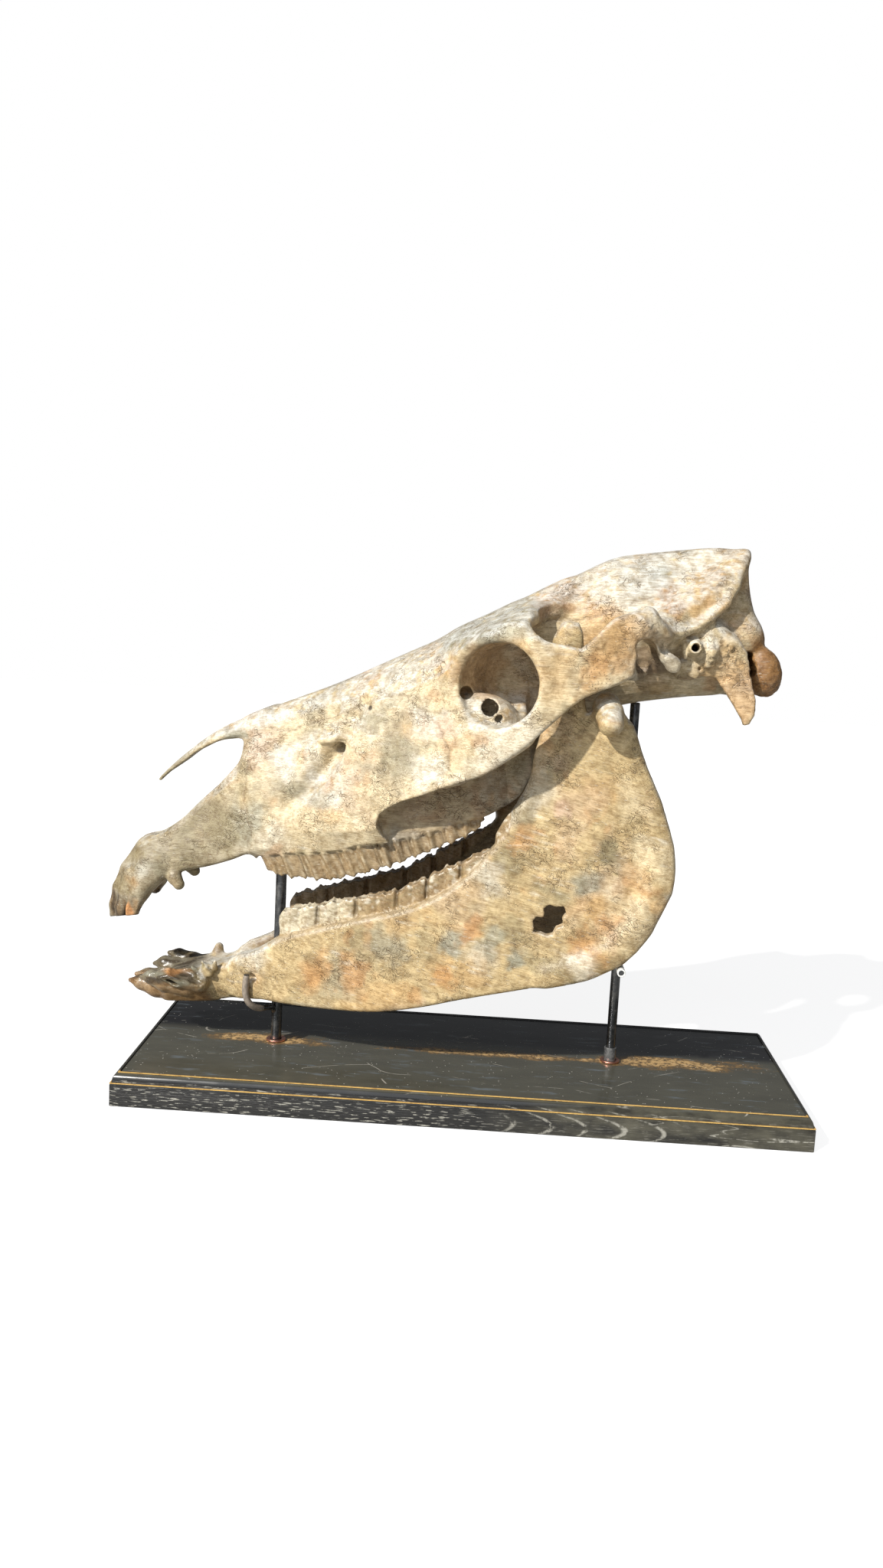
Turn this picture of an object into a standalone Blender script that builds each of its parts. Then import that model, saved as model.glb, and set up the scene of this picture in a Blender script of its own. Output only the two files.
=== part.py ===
"""A horse skull on its display stand, life size: cranium, mandible and a wooden base with steel rods.

The two bones are sculpted as distance fields: each feature is a small function that gives the
distance to its surface, in millimetres, and the features are joined and cut with fillets. The
field's zero surface becomes a mesh. The stand is made from curves, cones and bevelled boxes.
"""

from functools import partial

import bmesh
import bpy
import numpy as np
from mathutils import Vector

# ------------------------------------------------------------------ driving dimensions, millimetres

BASE_LENGTH = 520.0
BASE_DEPTH = 194.5
BASE_FACE = 17.2  # the height of its upright faces
BASE_TOP = 24.4  # the height of its top
BASE_INSET = 4.8  # how far the moulding steps in on each side
INLAY = 1.1  # the width of the two gold lines
INLAY_THICKNESS = 0.5

FRONT_ROD_X = -152.5
FRONT_ROD_RADIUS = 4.3
FRONT_ROD_TOP = 182.5
REAR_ROD_X = 118.0
REAR_ROD_RADIUS = 3.7
REAR_ROD_TOP = 314.0
COLLAR_RADIUS = 7.8
COLLAR_HEIGHT = 1.6
FERRULE_RADIUS = 4.9
FERRULE_HEIGHT = 12.0
CROSSBAR_X = 114.0
CROSSBAR_Z = 118.8
CROSSBAR_REACH = 73.0
CROSSBAR_RADIUS = 1.7
SLEEVE_RADIUS = 3.1
SLEEVE_LENGTH = 20.0
CRADLE_RADIUS = 2.6
GAP = 0.3  # between pieces that touch

SKULL_ORIGIN = (-161.0, 189.0)  # where the cranial frame's origin is in the ground frame, as (x, z)
SKULL_TILT = 9.0  # degrees, nose down

VOXEL = 2.2  # the spacing of the grid that the bones' fields are read on
CRANIUM_TRIANGLES = 5200
MANDIBLE_TRIANGLES = 2500

MM = 0.001

# ------------------------------------------------------------------ fields
# A field takes points and gives a distance that is negative inside the bone. For a feature that
# both sides have, the points carry the side distance |y| in place of y.


def smooth_union(a, b, blend):
    """Joins two fields with a fillet about as wide as blend."""
    if blend <= 0:
        return np.minimum(a, b)
    h = np.maximum(blend - np.abs(a - b), 0) / blend
    return np.minimum(a, b) - h * h * blend / 4


def smooth_cut(a, b, blend):
    """Takes field b away from field a, with a rounded edge."""
    return -smooth_union(-a, b, blend)


class Sculpture:
    """A bone as a list of features, each joined or cut in turn with its own fillet."""

    def __init__(self):
        self.steps = []

    def add(self, feature, blend=4.0, paired=True):
        self.steps.append((smooth_union, *feature, blend, paired))

    def cut(self, feature, blend=3.0, paired=True):
        self.steps.append((smooth_cut, *feature, blend, paired))

    def value(self, points, low, high, reach):
        """The paired features' field at points in the block low..high."""
        values = np.full(len(points), FAR)
        for join, field, box_low, box_high, blend, paired in self.steps:
            margin = reach + blend
            near = np.all(box_low - margin <= high) and np.all(box_high + margin >= low)
            if paired and near:
                values = join(values, field(points), blend)
        return values


def left_only(feature):
    """The same feature on the animal's left side, y < 0."""
    field, low, high = feature
    flip = np.array([1.0, -1.0, 1.0])
    return lambda points: field(points * flip), low * (1, 0, 1) - high * (0, 1, 0), high * (1, 0, 1)


def ellipsoid(centre, radii, tilt=0.0):
    """An ellipsoid whose front-to-back axis is turned up by tilt degrees."""
    radii, centre = np.asarray(radii, float), np.asarray(centre, float)
    c, s = np.cos(np.radians(tilt)), np.sin(np.radians(tilt))
    axes = np.array([[c, 0, s], [0, 1, 0], [-s, 0, c]])

    def field(points):
        q = (points - centre) @ axes.T / radii
        k = np.sqrt((q * q).sum(1)) + 1e-9
        g = np.sqrt(((q / radii) ** 2).sum(1)) + 1e-9
        return k * (k - 1) / g

    reach = radii.max() if tilt else radii
    return field, centre - reach, centre + reach


def tube(path, radii, flat=1.0):
    """A round bar along path with a radius at each point. flat under 1 thins it sideways."""
    path = np.asarray(path, float)
    radii = np.full(len(path), radii, float) if np.isscalar(radii) else np.asarray(radii, float)
    stretch = np.array([1, 1 / flat, 1])

    def field(points):
        q = points * stretch
        best = None
        for a, b, ra, rb in zip(path[:-1] * stretch, path[1:] * stretch, radii[:-1], radii[1:]):
            along = b - a
            t = np.clip(((q - a) @ along) / (along @ along), 0, 1)
            d = np.linalg.norm(q - a - t[:, None] * along, axis=1) - (ra + (rb - ra) * t)
            best = d if best is None else smooth_union(best, d, 2.0)
        return best * flat

    return field, path.min(0) - radii.max(), path.max(0) + radii.max()


def curve(*knots):
    """A smooth function of x through (x, value) knots that adds no rise or fall between them."""
    x, v = (np.array(c, float) for c in zip(*knots))
    if len(x) < 3:
        return lambda q: np.interp(q, x, v)
    step = np.diff(x)
    slope = np.diff(v) / step
    tangent = np.zeros(len(x))
    turn = slope[:-1] * slope[1:] > 0
    w0, w1 = 2 * step[1:] + step[:-1], step[1:] + 2 * step[:-1]
    with np.errstate(divide="ignore", invalid="ignore"):
        tangent[1:-1] = np.where(turn, (w0 + w1) / (w0 / slope[:-1] + w1 / slope[1:]), 0)
    tangent[0], tangent[-1] = slope[0], slope[-1]

    def value(q):
        q = np.clip(q, x[0], x[-1])
        i = np.clip(np.searchsorted(x, q) - 1, 0, len(x) - 2)
        t = (q - x[i]) / step[i]
        ends = v[i] + (3 * t**2 - 2 * t**3) * (v[i + 1] - v[i])
        return ends + step[i] * ((t**3 - 2 * t**2 + t) * tangent[i] + (t**3 - t**2) * tangent[i + 1])

    return value


def polygon_distance(u, v, corners):
    """Signed distance in a plane to a closed outline whose corners (u, v) may vary by point."""
    best = np.full(u.shape, 1e12)
    inside = np.zeros(u.shape, bool)
    for (ua, va), (ub, vb) in zip(corners, corners[1:] + corners[:1]):
        eu, ev = ub - ua, vb - va
        wu, wv = u - ua, v - va
        t = np.clip((wu * eu + wv * ev) / (eu * eu + ev * ev + 1e-12), 0, 1)
        best = np.minimum(best, (wu - t * eu) ** 2 + (wv - t * ev) ** 2)
        slant = np.where(np.abs(ev) < 1e-12, 1e-12, ev)
        inside ^= ((va > v) != (vb > v)) & (u < ua + (v - va) * eu / slant)
    return np.where(inside, -1, 1) * np.sqrt(best)


def corners_cut(corners, passes):
    """An open outline with each inner corner replaced by two points, the given number of times."""
    for _ in range(passes):
        eased = [corners[0]]
        for (sa, ha), (sb, hb) in zip(corners[:-1], corners[1:]):
            eased.append((0.75 * sa + 0.25 * sb, 0.75 * ha + 0.25 * hb))
            eased.append((0.25 * sa + 0.75 * sb, 0.25 * ha + 0.75 * hb))
        corners = eased + [corners[-1]]
    return corners


def loft(section, ends, height, half_width, rounding, end_blend=8.0, passes=1):
    """A body along x between the two ends. section lists the right half of its outline, from the
    midline's top to its bottom, as (side, z) functions of x, and rounding softens it."""

    def field(points):
        x, side, z = points.T
        outline = corners_cut([(s(x), h(x)) for s, h in section], passes)
        (_, top), (_, bottom) = outline[0], outline[-1]
        inset = [
            (np.maximum(s - rounding, 0), np.clip(h, bottom + rounding, top - rounding))
            for s, h in outline
        ]
        mirrored = [(-s, h) for s, h in inset[-2:0:-1]]
        d = polygon_distance(side, z, inset + mirrored) - rounding
        return -smooth_union(-d, -np.maximum(ends[0] - x, x - ends[1]), end_blend)

    return field, np.array([ends[0], 0, height[0]]), np.array([ends[1], half_width, height[1]])


def midline(height):
    """A section's corner on the midline, at a height that is a function of x."""
    return (lambda x: 0 * x, height)


def rounded_outline(outline, spacing):
    """The outline's points with more between them, on a smooth closed curve."""
    p = np.asarray(outline, float)
    made = []
    for i in range(len(p)):
        a, b, c, d = p[i - 1], p[i], p[(i + 1) % len(p)], p[(i + 2) % len(p)]
        steps = max(1, int(np.linalg.norm(c - b) / spacing))
        ab, bc, cd = (np.linalg.norm(s - r) ** 0.5 + 1e-9 for r, s in ((a, b), (b, c), (c, d)))
        leave = bc * ((b - a) / ab - (c - a) / (ab + bc) + (c - b) / bc)
        arrive = bc * ((c - b) / bc - (d - b) / (bc + cd) + (d - c) / cd)
        for t in np.arange(steps) / steps:
            ease = 3 * t**2 - 2 * t**3
            made.append(b + ease * (c - b) + (t**3 - 2 * t**2 + t) * leave + (t**3 - t**2) * arrive)
    return made


def plate(outline, middle, half_thickness, edge=4.0, spacing=9.0):
    """A bent plate with the given side view, in (x, z). middle and half_thickness are functions of
    (x, z) that give the side distance of its centre and half its thickness."""
    flat = np.array(rounded_outline(outline, spacing))
    corners = [tuple(p) for p in flat]

    def field(points):
        x, side, z = points.T
        through = np.abs(side - middle(x, z)) - half_thickness(x, z)
        return -smooth_union(-polygon_distance(x, z, corners), -through, edge)

    reach = middle(*flat.T) + half_thickness(*flat.T)
    low, high = flat.min(0), flat.max(0)
    return field, np.array([low[0], 0, low[1]]), np.array([high[0], reach.max(), high[1]])


def prism(outline, low, high, edge=1.4, lean=0.0):
    """An upright column with a flat outline in (x, side), between heights that are functions of
    (x, side). The outline moves forward by lean for each millimetre above z = 0."""
    flat = np.array(outline, float)
    corners = [tuple(p) for p in flat]

    def field(points):
        x, side, z = points.T
        ends = np.maximum(low(x, side) - z, z - high(x, side))
        return -smooth_union(-polygon_distance(x + lean * z, side, corners), -ends, edge)

    (x0, side0), (x1, side1) = flat.min(0), flat.max(0)
    x, side = (g.ravel() for g in np.meshgrid(np.linspace(x0, x1, 9), np.linspace(side0, side1, 5)))
    bottom, top = low(x, side).min() - edge, high(x, side).max() + edge
    shift = lean * bottom, lean * top
    return (
        field,
        np.array([x0 - max(shift), side0, bottom]),
        np.array([x1 - min(shift), side1, top]),
    )


def below(height, low, high):
    """The part of the box low..high that lies under a height, a function of (x, side)."""
    low, high = np.array(low, float), np.array(high, float)

    def field(points):
        x, side, z = points.T
        return np.maximum(z - height(x, side), np.maximum(low[0] - x, x - high[0]))

    return field, low, high


# ------------------------------------------------------------------ from field to mesh

BLOCK = 16  # grid points on a side of the blocks that are worked out together
FAR = 40.0  # the field's value away from every feature


def block_points(corner, offsets):
    grid = np.meshgrid(*(corner[axis] + offsets for axis in range(3)), indexing="ij")
    return np.stack([g.ravel() for g in grid], 1)


def refined(coarse):
    """The values between those of a coarse block, at twice its fineness."""
    for axis in range(3):
        coarse = np.moveaxis(coarse, axis, 0)
        between = 0.5 * (coarse[:-1] + coarse[1:])
        coarse = np.stack([coarse[:-1], between], 1).reshape(-1, *coarse.shape[1:])
        coarse = np.moveaxis(coarse, 0, axis)
    return coarse


def block_values(sculpture, corner, voxel):
    """One block of the field: exact near the surface, and of the right sign elsewhere."""
    size = BLOCK * voxel
    value = partial(sculpture.value, low=corner, high=corner + size, reach=0.9 * size)
    rough = value(block_points(corner, np.linspace(0, size, 4)))
    if np.abs(rough).min() > 0.55 * size:
        return rough[np.abs(rough).argmin()]
    half = BLOCK // 2 + 1
    coarse = value(block_points(corner, np.linspace(0, size, half)))
    block = refined(coarse.reshape(half, half, half))
    near = np.abs(block) < 2.2 * voxel
    block[near] = value(block_points(corner, np.arange(BLOCK) * voxel)[near.ravel()])
    return block


def field_grid(sculpture, low, high, voxel):
    """The sculpture's field on a grid, and the grid's first point. The side y > 0 is worked out
    and mirrored, and then the features of one side are put in."""
    size = BLOCK * voxel
    blocks = [int(np.ceil(span / size)) for span in (high[0] - low[0], high[1], high[2] - low[2])]
    half = np.empty([n * BLOCK for n in blocks])
    start = np.array([low[0], 0.5 * voxel, low[2]])
    for index in np.ndindex(*blocks):
        corner = start + np.array(index) * size
        half[tuple(slice(i * BLOCK, (i + 1) * BLOCK) for i in index)] = block_values(
            sculpture, corner, voxel
        )
    grid = np.concatenate([half[:, ::-1], half], 1)
    start[1] = (0.5 - half.shape[1]) * voxel
    for join, field, box_low, box_high, blend, paired in sculpture.steps:
        if paired:
            continue
        first = np.maximum(((box_low - blend - start) / voxel).astype(int) - 2, 0)
        last = np.minimum(((box_high + blend - start) / voxel).astype(int) + 3, grid.shape)
        axes = [start[a] + np.arange(first[a], last[a]) * voxel for a in range(3)]
        points = np.stack([g.ravel() for g in np.meshgrid(*axes, indexing="ij")], 1)
        part = grid[tuple(slice(a, b) for a, b in zip(first, last))]
        part[...] = join(part.ravel(), field(points), blend).reshape(part.shape)
    return grid, start


def shifted(shape, *offsets):
    """The slices of a grid that start offsets in and leave out as many points at the end."""
    return tuple(slice(o, n - 1 + o) for o, n in zip(offsets, shape))


def fill_touching_corners(grid):
    """Fills each grid square or cell that is inside at two opposite corners only, and each that is
    outside there only, because the surface would touch itself in it."""
    squares = [[(0, 0, 0), (1, 1, 0)], [(0, 0, 0), (1, 0, 1)], [(0, 0, 0), (0, 1, 1)]]
    squares += [[(0, 1, 0), (1, 0, 0)], [(0, 0, 1), (1, 0, 0)], [(0, 0, 1), (0, 1, 0)]]
    cell = list(np.ndindex(2, 2, 2))
    for _ in range(30):
        filled = 0
        for near, far in squares:
            flat = [axis for axis in range(3) if near[axis] == far[axis]][0]
            square = [c for c in cell if c[flat] == 0]
            filled += fill_where_only(grid, (near, far), square)
        for near in cell[:4]:
            filled += fill_where_only(grid, (near, tuple(1 - n for n in near)), cell)
        if not filled:
            break


def fill_where_only(grid, pair, corners):
    """Fills the given corners' group wherever the pair differs in side from all the others."""
    parts = {c: grid[shifted(grid.shape, *c)] for c in corners}
    inside = {c: part < 0 for c, part in parts.items()}
    paired = inside[pair[0]] & inside[pair[1]]
    paired_out = ~inside[pair[0]] & ~inside[pair[1]]
    for c in corners:
        if c not in pair:
            paired = paired & ~inside[c]
            paired_out = paired_out & inside[c]
    places = paired | paired_out
    if places.any():
        for part in parts.values():
            part[places & (part >= 0)] = -0.05
    return int(places.sum())


def surface(grid, start, voxel):
    """The points and four-sided faces of the grid's zero surface, a point in each cell it crosses."""
    inside = grid < 0
    corners = list(np.ndindex(2, 2, 2))
    count = sum(inside[shifted(grid.shape, *c)].astype(int) for c in corners)
    cells = np.argwhere((count > 0) & (count < 8))
    number = np.full(count.shape, -1)
    number[tuple(cells.T)] = np.arange(len(cells))
    total, hits = np.zeros((len(cells), 3)), np.zeros(len(cells))
    for near in corners:
        for axis in range(3):
            if near[axis]:
                continue
            step = np.eye(3, dtype=int)[axis]
            va, vb = (grid[tuple((cells + near + o).T)] for o in (0 * step, step))
            crossing = (va < 0) != (vb < 0)
            t = np.where(crossing, va / np.where(crossing, va - vb, 1), 0)
            total += np.where(crossing[:, None], near + t[:, None] * step, 0)
            hits += crossing
    points = start + (cells + total / hits[:, None]) * voxel
    faces = []
    for axis in range(3):
        u, w = np.eye(3, dtype=int)[(axis + 1) % 3], np.eye(3, dtype=int)[(axis + 2) % 3]
        lower = inside[tuple(slice(0 if a == axis else 1, n - 1) for a, n in enumerate(grid.shape))]
        upper = inside[tuple(slice(1, n if a == axis else n - 1) for a, n in enumerate(grid.shape))]
        edges = np.argwhere(lower != upper)
        outward = lower[tuple(edges.T)]
        edges = edges + u + w
        quad = np.stack([number[tuple((edges - o).T)] for o in (u + w, w, 0 * w, u)], 1)
        faces.append(np.where(outward[:, None], quad, quad[:, ::-1]))
    return points, np.concatenate(faces)


def bone_surface(sculpture, low, high, voxel):
    grid, start = field_grid(sculpture, low, high, voxel)
    fill_touching_corners(grid)
    return surface(grid, start, voxel)


# ------------------------------------------------------------------ cranium
# Its frame, in millimetres: x runs back from the front of the cheek teeth and z up from the gum.

PROFILE = curve(
    (-83, 59), (-61, 75), (-28, 93), (4, 103), (66, 118.4), (129, 138),
    (190, 156.6), (251, 178.6), (300, 192), (354, 191), (397, 184),
)
GUM = curve(
    (-10, -4.5), (22, -4.8), (47, -5), (62, -4), (74, -1.5), (95, -1), (118, 0.5), (135, 3.5),
    (155, 8.5), (167, 9.5), (182, 14), (198, 22), (205, 31), (213, 44),
)
UPPER_OUTER = curve((-6, 33.5), (34, 45.5), (62, 51.2), (90, 54), (112, 52.8), (140, 53), (171, 51))
UPPER_TIPS = curve(
    (-6, -13), (0, -18), (10, -23), (32, -26.5), (50, -28), (71, -25.5),
    (104, -19), (119, -15), (140, -9), (160, -2.5), (172, 6),
)
UPPER_TEETH = [(-6, 29.3), (29, 60), (59.5, 88), (89, 115), (114, 142), (141, 171)]
UPPER_LEAN = (0.3, 0.3, 0.26, 0.14, 0.1, 0.06)  # how far back each tooth's ribs run, per mm down


def face():
    """The nasals, maxillae and fronts of the frontals, from the nose to behind the orbits. It is
    full below the facial crest, where cheek_hollow is cut away."""
    crest = curve(
        (-10, 35), (20, 45), (50, 55), (80, 64), (95, 71), (128, 82), (170, 91), (215, 98)
    )
    crest_z = curve((-10, 17), (80, 15), (95, 19), (111, 30), (147, 40), (184, 53), (221, 75))
    section = [
        midline(PROFILE),
        (
            curve((-10, 20), (50, 31), (95, 44), (128, 56), (170, 74), (195, 80), (215, 76)),
            curve((-10, 93), (50, 107), (95, 117), (128, 125), (170, 135), (195, 142), (215, 147)),
        ),
        (
            curve((-10, 28), (20, 35), (50, 43), (95, 57), (128, 67), (170, 80), (215, 84)),
            curve((-10, 54), (50, 64), (95, 74), (128, 86), (170, 106), (215, 120)),
        ),
        (crest, crest_z),
        (
            curve((-10, 35.5), (20, 44), (50, 52), (80, 58.5), (95, 65), (112, 77), (147, 85), (215, 95)),
            lambda x: crest_z(x) - 9,
        ),
        (
            curve((-10, 30), (20, 38.5), (50, 46), (80, 50), (95, 51), (112, 76), (147, 83), (215, 90)),
            lambda x: GUM(x) - 14,
        ),
        (
            curve((-10, 8), (20, 16), (50, 24), (95, 31), (150, 32), (190, 27), (215, 22)),
            lambda x: GUM(x) - 12,
        ),
        midline(lambda x: GUM(x) - 12),
    ]
    return loft(section, (-9, 211), (-22, 175), 100, 4, 10, 2)


def below_gum():
    """Everything under the gum line and the arch of the palate, so that the cheek comes flush down
    to the teeth."""
    palate = curve((-10, 1), (20, 4), (95, 6), (130, 12), (170, 20), (214, 30))
    return below(
        lambda x, side: np.maximum(GUM(x), palate(x) - 0.022 * side**2), (-9, 0, -40), (214, 112, 46)
    )


def cheek_hollow():
    """What is cut away below the facial crest, down to the wall over the cheek teeth's roots."""
    outline = [
        (103, -12), (98.5, 0), (94, 7), (91.5, 15), (95, 22.5), (102, 27), (113, 31.5), (126, 34.5),
        (141, 38.5), (156, 42.5), (171, 47.5), (183, 52), (196, 59), (211, 67.5), (228, 82),
        (246, 94), (246, -30), (112, -30),
    ]
    wall = curve((91, 52.6), (112, 52.2), (140, 53.2), (171, 52), (190, 48), (246, 38))
    hollowed = 0.06
    return plate(outline, lambda x, z: wall(x) + 45 - hollowed * (z - 4), lambda x, z: 45 + 0 * x, 2, 5)


def braincase():
    """The middle of the skull from the lacrimals back to the nuchal plane."""
    base = curve((165, 60), (215, 68), (255, 76), (298, 81.5), (330, 82), (352, 81), (396, 90))
    section = [
        midline(PROFILE),
        (
            curve((165, 42), (215, 46), (240, 42), (262, 36), (290, 31), (350, 25), (396, 24)),
            curve((165, 138), (215, 156), (240, 164), (262, 172), (290, 180), (350, 181), (396, 178)),
        ),
        (
            curve(
                (165, 42), (190, 38), (215, 36), (235, 41), (275, 53), (310, 56), (350, 48),
                (372, 36), (396, 24),
            ),
            curve((165, 110), (215, 124), (255, 136), (300, 142), (350, 142), (396, 148)),
        ),
        (
            curve((165, 40), (215, 29), (235, 27), (275, 36), (325, 45), (350, 41), (372, 36), (396, 28)),
            curve((165, 72), (215, 82), (255, 95), (300, 106), (350, 104), (396, 118)),
        ),
        (curve((165, 26), (215, 21), (275, 17), (325, 21), (396, 23)), base),
        midline(base),
    ]
    return loft(section, (166, 388), (55, 196), 60, 10, 10, 2)


def orbit_roof():
    """The frontal bone's shelf over the orbit, which thins towards its outer edge."""
    edge = curve(
        (150, 58), (170, 76), (190, 88), (210, 93), (218, 90), (225, 72), (238, 52), (256, 34)
    )
    edge_z = curve((150, 128), (170, 136), (190, 144), (210, 148), (227, 153), (252, 166))
    section = [
        midline(lambda x: PROFILE(x) - 0.8),
        (lambda x: 0.5 * edge(x), lambda x: 0.72 * PROFILE(x) + 0.28 * edge_z(x)),
        (lambda x: 0.85 * edge(x), lambda x: 0.25 * PROFILE(x) + 0.75 * edge_z(x) + 1.5),
        (edge, edge_z),
        (lambda x: edge(x) - 3, lambda x: edge_z(x) - 10),
        (lambda x: 0.55 * edge(x), lambda x: 0.66 * PROFILE(x) + 0.34 * edge_z(x) - 16),
        midline(lambda x: PROFILE(x) - 20),
    ]
    return loft(section, (152, 256), (116, 196), 100, 3.5, 14)


def zygomatic_arch():
    outline = [
        (140, 50), (152, 64), (168, 80), (190, 79), (212, 88), (222, 110), (223, 138), (236, 134),
        (252, 129), (263, 137), (278, 148), (293, 149), (303, 141), (304, 128), (295, 126),
        (290, 114), (286, 105), (274, 101), (251, 95), (235, 85), (210, 67.5), (171, 47.5), (147, 40),
    ]
    middle = curve(
        (140, 66), (165, 78), (190, 90), (215, 95), (240, 96), (265, 94), (285, 88), (305, 78)
    )
    half = curve((140, 5), (190, 5), (222, 5.5), (245, 4.5), (270, 5.5), (290, 7), (305, 7))
    return plate(outline, lambda x, z: middle(x) - 0.05 * (z - 100), lambda x, z: half(x), 3.5)


def orbit_rim(radius):
    """A round bar round the orbit, in an oval whose plane turns outwards to the back."""
    turn = np.linspace(0, 2 * np.pi, 19)
    across, up = 33.5 * np.cos(turn), 34 * np.sin(turn)
    return tube(np.stack([191 + across, 84.5 + 0.38 * across, 109.5 + up], 1), radius)


def nasal_roof():
    """The nasal bones' free front, a thin arch that ends in a beak."""
    half = curve((-84, 1.5), (-70, 6), (-50, 12), (-25, 18), (0, 23), (20, 25))
    under = curve((-84, 56), (-77, 60), (-60, 69), (-46, 77), (-21, 84), (0, 84), (20, 88))
    section = [
        midline(PROFILE),
        (lambda x: 0.7 * half(x), lambda x: PROFILE(x) - 0.06 * half(x) - 1),
        (half, lambda x: 0.5 * (PROFILE(x) + under(x)) - 1),
        (lambda x: 0.85 * half(x), under),
        midline(lambda x: under(x) + 1),
    ]
    return loft(section, (-84, 16), (50, 108), 30, 1.6, 3)


def premaxilla():
    """The incisive bone: its floor and the side walls that climb to the nasals."""
    rim = curve(
        (-112, 0), (-103, 8), (-90, 15), (-67, 28), (-49, 43), (-30, 56), (-16, 67), (-5, 82), (14, 92),
        (30, 92),
    )
    low = curve(
        (-112, -32), (-103, -30), (-95, -27), (-88, -23.5), (-78, -20.5), (-65, -17.5), (-49, -16),
        (-29, -12), (-14, -8), (14, -6.5), (30, -6),
    )
    section = [
        midline(rim),
        (curve((-112, 14), (-80, 18), (-49, 19), (-20, 22), (0, 22), (30, 16)), lambda x: rim(x) - 1),
        (
            curve((-112, 31), (-103, 32), (-80, 27), (-49, 25), (-20, 32), (-5, 36.5), (14, 38), (30, 36)),
            lambda x: 0.6 * low(x) + 0.4 * rim(x),
        ),
        (
            curve((-112, 31), (-103, 33), (-80, 27), (-49, 25), (-20, 33), (-5, 37), (14, 38), (30, 36)),
            lambda x: low(x) + 1,
        ),
        (curve((-112, 20), (-80, 16), (-49, 14), (14, 20), (30, 20)), lambda x: low(x) - 1),
        midline(lambda x: low(x) + 4),
    ]
    return loft(section, (-104, 30), (-34, 92), 44, 4, 7)


def nasal_cavity():
    """What is cut away inside the nose, from its open front back between the cheeks."""
    half = curve((-105, 5), (-90, 10), (-60, 14), (-20, 16), (10, 20), (60, 24), (120, 18))
    top = curve(
        (-105, 30), (-84, 53), (-77, 59), (-60, 68), (-46, 75), (-21, 86), (0, 93), (60, 108), (120, 120)
    )
    floor = curve((-105, 14), (-90, 6), (-60, 0), (0, 8), (60, 20), (120, 40))
    section = [
        midline(top),
        (lambda x: 0.8 * half(x), lambda x: top(x) - 4),
        (half, lambda x: 0.5 * (top(x) + floor(x))),
        (lambda x: 0.8 * half(x), floor),
        midline(floor),
    ]
    return loft(section, (-99, 112), (-4, 124), 30, 4, 8)


def tooth_column(first, last, outer_line, width, cheek_side, tongue_side, low, high, lean):
    """A cheek tooth from first to last. Each side's folds are (share of its length, proudness)."""
    length = last - first
    outline = [
        (first + t * length, float(outer_line(first + t * length)) + d) for t, d in cheek_side
    ]
    outline += [
        (first + t * length, float(outer_line(first + t * length)) - width - d)
        for t, d in reversed(tongue_side)
    ]
    return prism(outline, low, high, 1.2, lean)


UPPER_CHEEK_FOLDS = [
    (0.0, -2.6), (0.08, 0.2), (0.14, 1.1), (0.21, 0.2), (0.33, -2.4), (0.45, -1.4), (0.51, 1.2),
    (0.57, 0.4), (0.68, -2.4), (0.8, -2.0), (0.88, -0.2), (0.93, -0.6), (1.0, -2.6),
]
UPPER_TONGUE_FOLDS = [
    (0.0, -5), (0.2, 0.5), (0.45, 1.5), (0.62, -2.5), (0.85, -1), (1.0, -6),
]


def cut_eye_and_temple_spaces(skull):
    """The orbit, the spaces behind and below it, and the choana behind the palate."""
    skull.cut(tube([(186, 122, 111), (194, 84, 109), (206, 56, 112)], [33, 30, 26]), 5)
    skull.cut(tube([(214, 76, 84), (236, 66, 70)], [15, 24]), 6)
    skull.cut(tube([(222, 80, 150), (250, 60, 150)], [14, 24]), 5)
    skull.cut(tube([(128, 0, -6), (150, 0, 12), (200, 0, 42), (230, 0, 50)], [14, 19, 23, 26]), 4)


def add_orbit(skull):
    skull.add(orbit_roof(), 9)
    skull.cut(tube([(240, 110, 148), (243, 64, 152)], [15, 18]), 2)
    skull.cut(tube([(236, 110, 161), (239, 72, 161)], [12, 12]), 2)
    skull.add(zygomatic_arch(), 8)
    bar = [(202, 88, 149), (213, 92, 146), (219, 96, 137), (226, 97, 124)]
    skull.add(tube(bar, [4, 5.5, 5, 6], 0.8), 5)
    skull.add(orbit_rim(3), 6)
    skull.cut(tube([(184, 112, 110), (193, 84, 109.5)], [31, 29.5]), 2)
    skull.add(ellipsoid((178, 58, 83), (27, 22, 20), -14), 3)


def add_jaw_joint(skull):
    """The bar and hollow that the mandible's condyle works against, and the process behind."""
    skull.add(tube([(284, 76, 113), (288, 66, 111), (294, 50, 108)], [7, 9, 9]), 6)
    skull.add(tube([(294, 84, 138), (304, 68, 134), (316, 52, 130)], [10, 10, 12]), 9)
    behind = [(300, 80, 144), (306, 78, 135), (310, 77, 126), (313, 75, 117), (317, 72, 110)]
    skull.add(tube(behind, [8, 7.5, 6.4, 5.6, 5.8], 0.85), 4)
    for z, radius in ((125, 7), (115, 7.6), (103, 7.6)):
        skull.cut(tube([(296.5, 104, z), (298.5, 55, z - 4)], [radius, radius + 1]), 2)


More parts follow.
